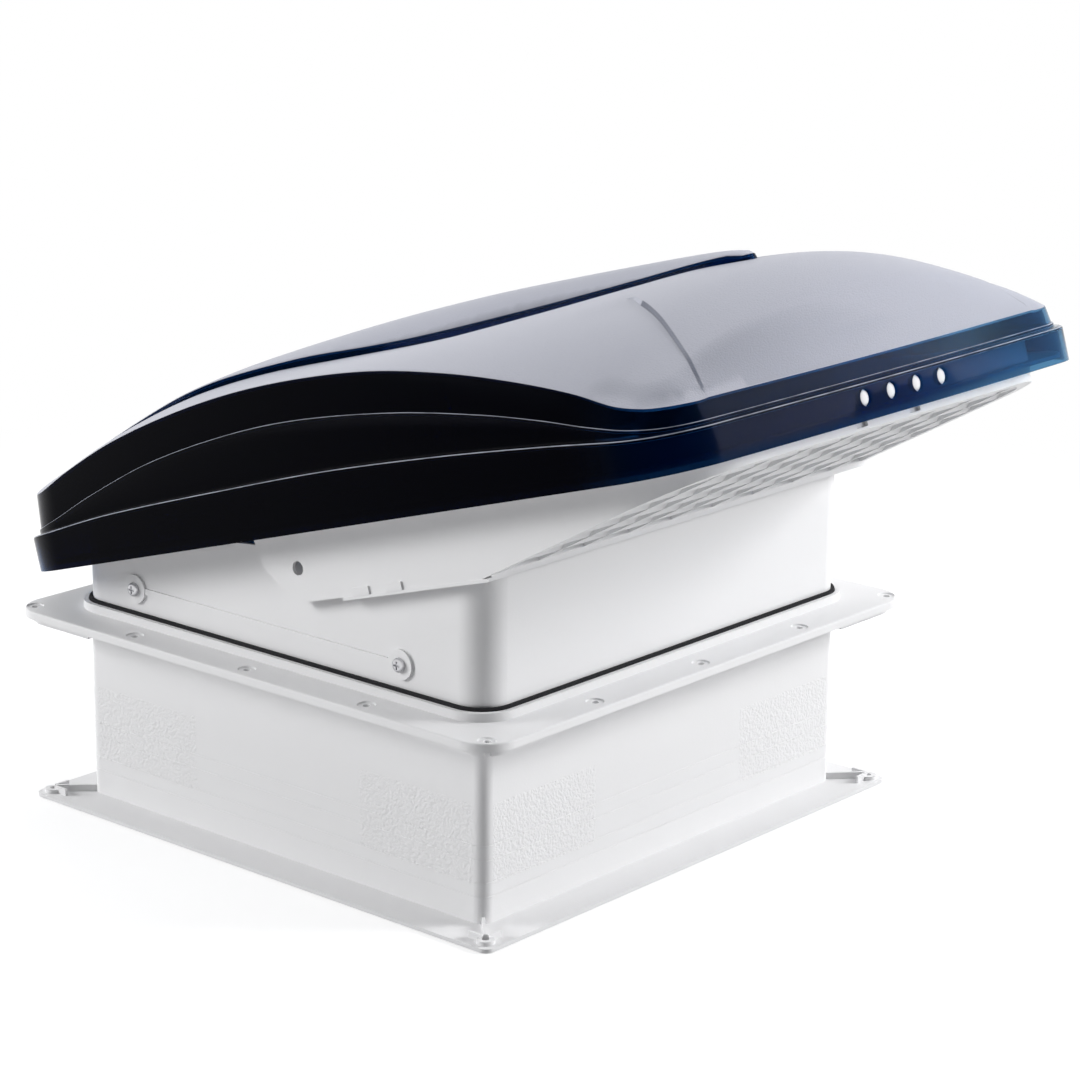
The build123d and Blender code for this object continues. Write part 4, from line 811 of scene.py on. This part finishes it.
def fold_lines():
    """The lines of each fold: its upper and lower edge, and one beside each of them."""
    lines = []
    for mirror in (-1, 1):
        for outside in (-fold_beside, -fold_half, fold_half, fold_beside):
            line = []
            for number in range(-10, 50):
                reach = number * 2.0
                along = fold_start + reach * fold_along - outside * fold_out
                across = fold_side + reach * fold_out + outside * fold_along
                if inside_top(along, across, fold_end_gap):
                    line.append((along, mirror * across))
            lines.append(line)
    return lines


def inside_top(along, across, margin):
    """Whether a place is on the top, clear of its boundary by a margin."""
    across = abs(across)
    side = lid_half - step_inset - shoulder_lean - top_lip - margin
    front = lid_front - front_bow * (across / lid_half) ** 2 - step_inset - end_lip - margin
    rear = lid_rear + step_inset + end_lip + margin
    if across > side or along > front or along < rear:
        return False
    rear_round, front_round = rear_corner - corner_loss, front_corner - corner_loss
    for corner, radius, sign in ((rear + rear_round, rear_round, -1), (front - front_round, front_round, 1)):
        dx, dy = sign * (along - corner), across - (side - radius)
        if dx > 0 and dy > 0 and math.hypot(dx, dy) > radius - margin / 2:
            return False
    return True


def top_triangles(pitch):
    """Points and triangles of the top, with the boundary ring and the fixed lines in them."""
    flat = [Vector((x, y)) for x, y, z in boundary]
    edges = [(n, (n + 1) % len(flat)) for n in range(len(flat))]
    lines = [offset_spine(d) for d in (spine_beside, spine_foot, spine_wall, spine_shelf)] + fold_lines()
    for line in lines:
        first = len(flat)
        flat += [Vector(p) for p in line]
        edges += [(first + n, first + n + 1) for n in range(len(line) - 1)]
    rows = int((lid_front - lid_rear) / pitch)
    columns = int(lid_half / pitch)
    for i in range(rows):
        along = lid_rear + (i + 0.5) * pitch
        for j in range(-columns, columns + 1):
            across = (j + 0.5 * (i % 2)) * pitch
            gap = outside_spine(along, across)
            in_strip = spine_shelf - clear_of_spine < gap < spine_beside + clear_of_spine
            if in_strip and along < spine_end + 6:
                continue
            share, outside = fold_place(along, across)
            if -0.25 < share < 1 and abs(outside) < clear_of_fold:
                continue
            if inside_top(along, across, clear_of_edge):
                flat.append(Vector((along, across)))
    verts, _, faces, _, _, _ = delaunay_2d_cdt(flat, edges, [], 1, 1e-5)
    return [(v.x, v.y, top_height(v.x, v.y)) for v in verts], faces


top_points, top_faces = top_triangles(4.6)
print("top triangles", len(top_faces))

# %% [markdown]
# ## Joining the skin and giving it thickness
#
# Side, front panel and top are welded into one skin. Its wall of 2.6 mm goes
# inwards, as the real moulding's does, so the plastic tints what is seen through
# it as often as there are walls on the way.
#
# Each point also gets four numbers, as attributes: how much painted light shows
# through the plastic there, how strong a painted highlight it gets on a rounded edge,
# how much painted shade it gets on a fold, and whether it is on top. The lid's material
# reads them, so that its finish follows the shape exactly.


# %% The lid as one piece
def painted_light_through(along, across, height):
    """How much painted light shows through at a place, where little plastic and dark inside lie behind it: 0
    in the deep middle, more at the ends.
    """
    front = ease(along, 380, 455) * (0.25 + 0.5 * ease(across, -150, 200))
    rear = 0.8 * ease(-along, 70, 119) * ease(-height, -22, -6)
    return max(front, rear)


def lid_skin():
    """The outer skin of the lid as a mesh, open at the bottom."""
    shape = bmesh.new()
    clear = shape.verts.layers.float.new("clear")
    edge = shape.verts.layers.float.new("edge")
    fold = shape.verts.layers.float.new("fold")
    on_top = shape.verts.layers.float.new("on_top")

    # A point's highlight share is how much painted highlight its rounding gets
    def corner(p, highlight_share=0.0, top=0.0):
        vert = shape.verts.new(lid_point(*p))
        vert[clear] = painted_light_through(*p)
        vert[edge] = highlight_share
        vert[on_top] = top
        # The spine's wall is glossy and gets some painted light through it, and the painted shade on the
        # fold's line fades along it
        if top and spine_shelf + 0.1 < outside_spine(p[0], p[1]) < spine_foot + 0.1:
            vert[clear], vert[on_top] = 0.4, 0.0
        # The fold attribute carries painted shade along the line of each fold
        share, outside = fold_place(p[0], p[1])
        if abs(outside) < 0.8 and -0.03 < share < 1.05:
            vert[fold] = 1 - 0.6 * share
        return vert

    # How strong the painted highlight on each rounding is: of the rim, of the step and of the top's edge
    highlight_rings = {2: 1.0, 7: 1.0, 10: 0.45}
    layers = []
    for number, points in enumerate(rings):
        highlight_share, top = highlight_rings.get(number, 0.0), float(number >= first_top_ring)
        layers.append([corner(p, highlight_share, top) for p in points])
    lowest = rings[0]
    for n in range(len(lowest)):
        m = (n + 1) % len(lowest)
        at_front = lowest[n][0] > 0 and max(abs(lowest[n][1]), abs(lowest[m][1])) <= panel_half + 0.01
        if not at_front:
            shape.faces.new((layers[0][n], layers[0][m], layers[1][m], layers[1][n]))
    join_rings(shape, layers[1:])
    for points, faces, top in ((panel_points, panel_faces, 0.0), (top_points, top_faces, 1.0)):
        corners = [corner(p, 0.0, top) for p in points]
        for face in faces:
            shape.faces.new([corners[n] for n in face])
    bmesh.ops.remove_doubles(shape, verts=shape.verts, dist=0.00002)
    return shape


skin = lid_skin()
open_edges = [edge for edge in skin.edges if len(edge.link_faces) == 1]
print("open edges", len(open_edges), "faces", len(skin.faces))
roof_lid = object_from(skin, "roof_lid")

# %% [markdown]
# ## Posts under the lid
#
# Round posts inside the lid take the screws of the hood and of the lift rails.
# They were moulded with the lid, so they belong to the same piece.


# %% Wall and posts
def use_only(piece):
    """Make one object the selected and active one."""
    bpy.ops.object.select_all(action="DESELECT")
    piece.select_set(True)
    bpy.context.view_layer.objects.active = piece


use_only(roof_lid)
bpy.ops.object.modifier_add(type="SOLIDIFY")
wall = roof_lid.modifiers[-1]
wall.thickness = 0.0026
wall.offset = -1
wall.use_even_offset = True
bpy.ops.object.modifier_apply(modifier=wall.name)
print("lid faces", len(roof_lid.data.polygons))

# Posts from the hood's flange and from the two rails up into the wall of the top
post_radius, post_below_face = 4.5, 1.8
hood_post_shares, hood_post_side, hood_post_foot = (0.145, 0.42, 0.66, 0.87), 192.5, edge_height + 5.4
rail_post_places, rail_post_side, rail_post_foot = (198.0, 234.0), 150.3, 88.0
up_the_lid = Vector((-math.sin(open_angle), 0, math.cos(open_angle)))
post_places = []
for share in hood_post_shares:
    for side in (-hood_post_side, hood_post_side):
        post_places.append((lid_rear + share * (lid_front - lid_rear), side, hood_post_foot))
for along in rail_post_places:
    for side in (-rail_post_side, rail_post_side):
        post_places.append((along, side, rail_post_foot))
posts = []
for along, side, foot in post_places:
    heights = [dome_height(along + reach, abs(side) + 5) for reach in (-post_radius, 0, post_radius)]
    top = min(heights) - post_below_face
    middle = lid_point(along, side, (foot + top) / 2)
    bpy.ops.object.select_all(action="DESELECT")
    bpy.ops.mesh.primitive_cylinder_add(
        vertices=24, radius=post_radius / 1000, depth=(top - foot) / 1000, location=middle,
        rotation=(0, -open_angle, 0),
    )
    posts.append(bpy.context.object)
bpy.ops.object.select_all(action="DESELECT")
for post in posts:
    post.select_set(True)
roof_lid.select_set(True)
bpy.context.view_layer.objects.active = roof_lid
bpy.ops.object.join()
use_only(roof_lid)
bpy.ops.object.shade_smooth_by_angle(angle=math.radians(34))
print("lid with posts", len(roof_lid.data.polygons), "faces")

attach(roof_lid, "lid_group")
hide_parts("lid")

# %% [markdown]
# ## Plugs in the front holes
#
# The four holes in the front of the rim look white in the photograph, with a dark
# crescent at one side. A white plug sits a little below the surface in each one.


# %% Four plugs
# Radius, and how far in front of the plane where the domed face begins
plug_profile = ((0.05, 0.9), (1.8, 0.85), (3.4, 0.6), (4.5, 0.1), (4.85, -0.6), (4.85, -2.6), (0.05, -2.6))
plug_recess = 1.7  # how deep that plane lies in the hole


def plug_layers(side):
    """The rings of one round plug with a domed face, from its face to its back."""
    face_along = lid_front - front_bow * (side / lid_half) ** 2 - plug_recess
    layers = []
    angles = [2 * math.pi * n / 32 for n in range(32)]
    circle = [(math.cos(angle), math.sin(angle)) for angle in angles]
    for radius, out in plug_profile:
        layers.append([
            lid_point(face_along + out, side + radius * c, hole_height + radius * s)
            for c, s in circle
        ])
    return layers


plug_shape = bmesh.new()
for side in hole_sides:
    layers = [[plug_shape.verts.new(place) for place in layer] for layer in plug_layers(side)]
    join_rings(plug_shape, layers)
    plug_shape.faces.new(layers[0])
    plug_shape.faces.new(layers[-1])
hole_plugs = object_from(plug_shape, "hole_plugs")
use_only(hole_plugs)
bpy.ops.object.shade_smooth_by_angle(angle=math.radians(50))
hole_plugs.data.materials.append(finishes["white_plastic"])
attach(hole_plugs, "lid_group")
print("plug faces", len(hole_plugs.data.polygons))

# %% [markdown]
# ## The lid's plastic
#
# The sides are glossy and let light through. Painted light stands in for the lit inside
# seen through them, so they are nearly black where much lies behind them and steel blue
# at the two ends. The top has a satin face with a fine grain. Seen at a low angle it is
# mixed with a pale grey painted sheen that stands in for the white of the studio, which is
# why it looks pale grey from a low view and would look dark blue from above.


# %% Blue see-through plastic
def see_through_blue():
    """Glossy blue plastic at the sides, with a satin and grained face on top."""
    material = bpy.data.materials.new("blue_see_through")
    material.use_nodes = True
    tree = material.node_tree
    tree.nodes.clear()
    coordinates = add_node(tree, "TexCoord").outputs

    def attribute(name):
        node = add_node(tree, "Attribute")
        node.attribute_name = name
        return node.outputs["Fac"]

    # Satin where a place is on the top and faces up
    upward = add_node(tree, "VectorMath", {0: coordinates["Normal"], 1: up_the_lid}, "DOT_PRODUCT")
    facing_up = math_step(tree, "MULTIPLY", upward.outputs["Value"], attribute("on_top"))
    satin = map_range(tree, facing_up, 0.2, 0.4)

    # See-through plastic, with painted light seen through it towards the two ends of the lid
    tint_and_light_through = add_node(tree, "ValToRGB", {0: attribute("clear")})
    tint_and_light_through.color_ramp.elements[0].color = (0.0004, 0.0012, 0.008, 1)
    tint_and_light_through.color_ramp.elements[1].color = (0.15, 0.40, 0.60, 1)
    tint_and_light_through.color_ramp.elements.new(0.45).color = (0.008, 0.06, 0.19, 1)
    plastic = add_node(tree, "BsdfPrincipled", {
        "Base Color": tint_and_light_through.outputs["Color"],
        "Roughness": map_range(tree, satin, 0.0, 1.0, 0.08, 0.36, smooth=False),
        "IOR": map_range(tree, satin, 0.0, 1.0, 1.14, 1.4, smooth=False),
        "Transmission Weight": 0.92,
        "Specular Tint": (0.03, 0.05, 0.2, 1),
    }).outputs[0]

    # The satin face scatters light at a low angle as a pale grey painted sheen, with painted shade in the
    # two folds
    sheen_and_fold_shade = add_node(tree, "Mix")
    sheen_and_fold_shade.data_type = "RGBA"
    sheen_and_fold_shade.inputs["A"].default_value = (0.44, 0.45, 0.515, 1)
    sheen_and_fold_shade.inputs["B"].default_value = (0.10, 0.11, 0.15, 1)
    tree.links.new(attribute("fold"), sheen_and_fold_shade.inputs["Factor"])
    face = add_node(tree, "BsdfPrincipled", {
        "Base Color": sheen_and_fold_shade.outputs["Result"],
        "Roughness": 0.42,
        "Normal": place_group(tree, grain_group, {"Scale": 850, "Depth": 0.9}),
    }).outputs[0]
    low_angle = add_node(tree, "LayerWeight", {"Blend": 0.5}).outputs["Facing"]
    # A pale grey painted sheen, mixed in where the top is seen at a low angle
    painted_sheen = map_range(tree, low_angle, 0.12, 0.45, 0.0, 0.92, smooth=False)
    top_or_side = mix_shaders(tree, math_step(tree, "MULTIPLY", painted_sheen, satin), plastic, face)

    # The narrow roundings get a painted highlight, made uneven by noise
    line = map_range(tree, attribute("edge"), 0.35, 1.0, 0.0, 0.75)
    highlight_breakup = add_node(tree, "TexNoise", {"Vector": coordinates["Object"], "Scale": 60})
    uneven = map_range(tree, highlight_breakup.outputs["Fac"], 0.3, 0.6, 0.55, 1.0, smooth=False)
    painted_highlight = add_node(tree, "BsdfPrincipled", {"Base Color": (0.62, 0.66, 0.78, 1), "Roughness": 0.3})
    surface = mix_shaders(tree, math_step(tree, "MULTIPLY", line, uneven), top_or_side, painted_highlight.outputs[0])
    add_node(tree, "OutputMaterial", {"Surface": surface})
    return material


lid_finish = see_through_blue()
roof_lid.data.materials.clear()
roof_lid.data.materials.append(lid_finish)
print("lid finish", lid_finish.name)
